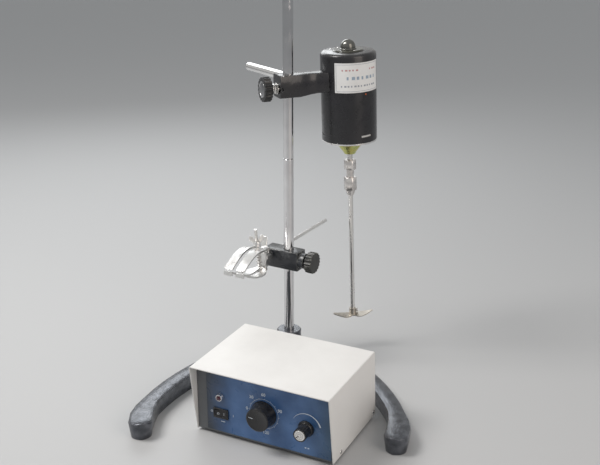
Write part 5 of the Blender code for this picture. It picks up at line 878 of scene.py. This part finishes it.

# Behind its three vents: thin pale strips set inside the casing, in the paper finish, a painted reflection
# that stands in for the bright metal seen through the vents.
VENT_TURNS = (-75, 45, 165)
VENT_HEIGHT = 0.3485
GLEAM_RADIUS, GLEAM_THICKNESS = 0.0373, 0.0005
GLEAM_RISE = 0.0028
GLEAM_SWEEP = math.radians(27)
vent_gleams = bmesh.new()
for degrees in VENT_TURNS:
    middle = math.radians(degrees)
    band(
        vent_gleams, VENT_HEIGHT - GLEAM_RISE, VENT_HEIGHT + GLEAM_RISE, middle - GLEAM_SWEEP,
        middle + GLEAM_SWEEP, GLEAM_RADIUS, GLEAM_THICKNESS, columns=16,
    )
on_motor("vent_painted_reflections", vent_gleams, PAPER)

# The motor's top screws: small bright cross-recessed screws, one through the casing's top and two
# through the disc, which hold the upper bearing's housing.
TOP_FACE, DISC_FACE = 0.4665, 0.4686
TOP_SCREW_RADIUS = 0.0021
TOP_SCREWS = ((-0.0157, 0.0250, TOP_FACE), (-0.0078, 0.0165, DISC_FACE), (0.0032, -0.0160, DISC_FACE))
up_motor = MOTOR_STANDS @ Vector((0, 0, 1))
for number, spot in enumerate(TOP_SCREWS):
    screw_head(
        f"motor_top_screw_{number}", MOTOR_PLACE @ Vector(spot), up_motor, "bracket_and_motor",
        BRIGHT_STEEL, radius=TOP_SCREW_RADIUS, turn=number,
    )

# The coupling and stirring rod: a turned and knurled steel chuck on the motor's shaft, whose nut
# grips the long bright steel rod, and a dull two-armed steel blade held on it by a set screw.
KNURLED_STEEL = finish(
    "knurled steel", (0.86, 0.83, 0.81), (0.62, 0.59, 0.57), (0.20, 0.36), metallic=1.0,
    grain=(820.0, 0.00030), stretch=(1.0, 1.0, 0.04), drift=90.0, reach=0.0005,
)
dress(KNURLED_STEEL, "chuck_body chuck_nut")
dress(BRIGHT_STEEL, "stirring_rod blade_set_screw")
DULL_STEEL = finish(
    "dull warm steel", (0.64, 0.60, 0.54), (0.50, 0.465, 0.415), (0.26, 0.44), metallic=1.0,
    grain=(900.0, 0.00004), drift=120.0, bare_and_lit_edge=(0.80, 0.78, 0.74), wear=0.6, reach=0.0006,
)
dress(DULL_STEEL, "stirrer_blade")

# The boss head: a cast block in worn black enamel that slides on the rod, with a ribbed lock knob on
# a steel stud, and a nickel plated thumb screw that holds the flask clamp's rod.
# Its pale edges are wear, and are also made wide and bright as a painted highlight along the block's top
# front edge.
BOSS_ENAMEL_WORN_AND_HIGHLIT = finish(
    "black enamel worn and highlit at edges", (0.016, 0.018, 0.022), (0.026, 0.029, 0.035), (0.22, 0.40),
    grain=(480.0, 0.00007), drift=60.0, bare_and_lit_edge=(0.42, 0.42, 0.38), wear=1.0, reach=0.0016,
    dust=0.12, coat=0.2,
)
dress(BOSS_ENAMEL_WORN_AND_HIGHLIT, "boss_head")
dress(BRIGHT_STEEL, "boss_lock_stud clamp_rod")
# The pale crests of the knob's ribs are wear, and are also a painted highlight where light falls on them.
RIBBED_BLACK_WORN_AND_HIGHLIT = finish(
    "ribbed plastic worn and highlit at crests", (0.018, 0.018, 0.017), (0.030, 0.030, 0.027), (0.26, 0.42),
    grain=(1400.0, 0.00003), drift=60.0, bare_and_lit_edge=(0.36, 0.36, 0.30), wear=1.0, reach=0.0010, dust=0.12,
)
dress(RIBBED_BLACK_WORN_AND_HIGHLIT, "boss_lock_knob")
dress(NICKEL, "clamp_rod_screw")

# The flask clamp: two cast and nickel plated jaws, the upper one hinged on a pin, drawn together by
# a leaning steel bolt with a wing nut and held apart by a wire spring.
SATIN_NICKEL = finish(
    "satin nickel plate", (0.85, 0.845, 0.835), (0.76, 0.755, 0.745), (0.26, 0.42), metallic=1.0,
    grain=(520.0, 0.00005), drift=70.0, bare_and_lit_edge=(0.62, 0.60, 0.58), wear=0.3, reach=0.0006,
)
dress(SATIN_NICKEL, "fixed_jaw hinged_jaw jaw_wing_nut")
dress(BRIGHT_STEEL, "jaw_pivot_pin jaw_bolt jaw_spring")
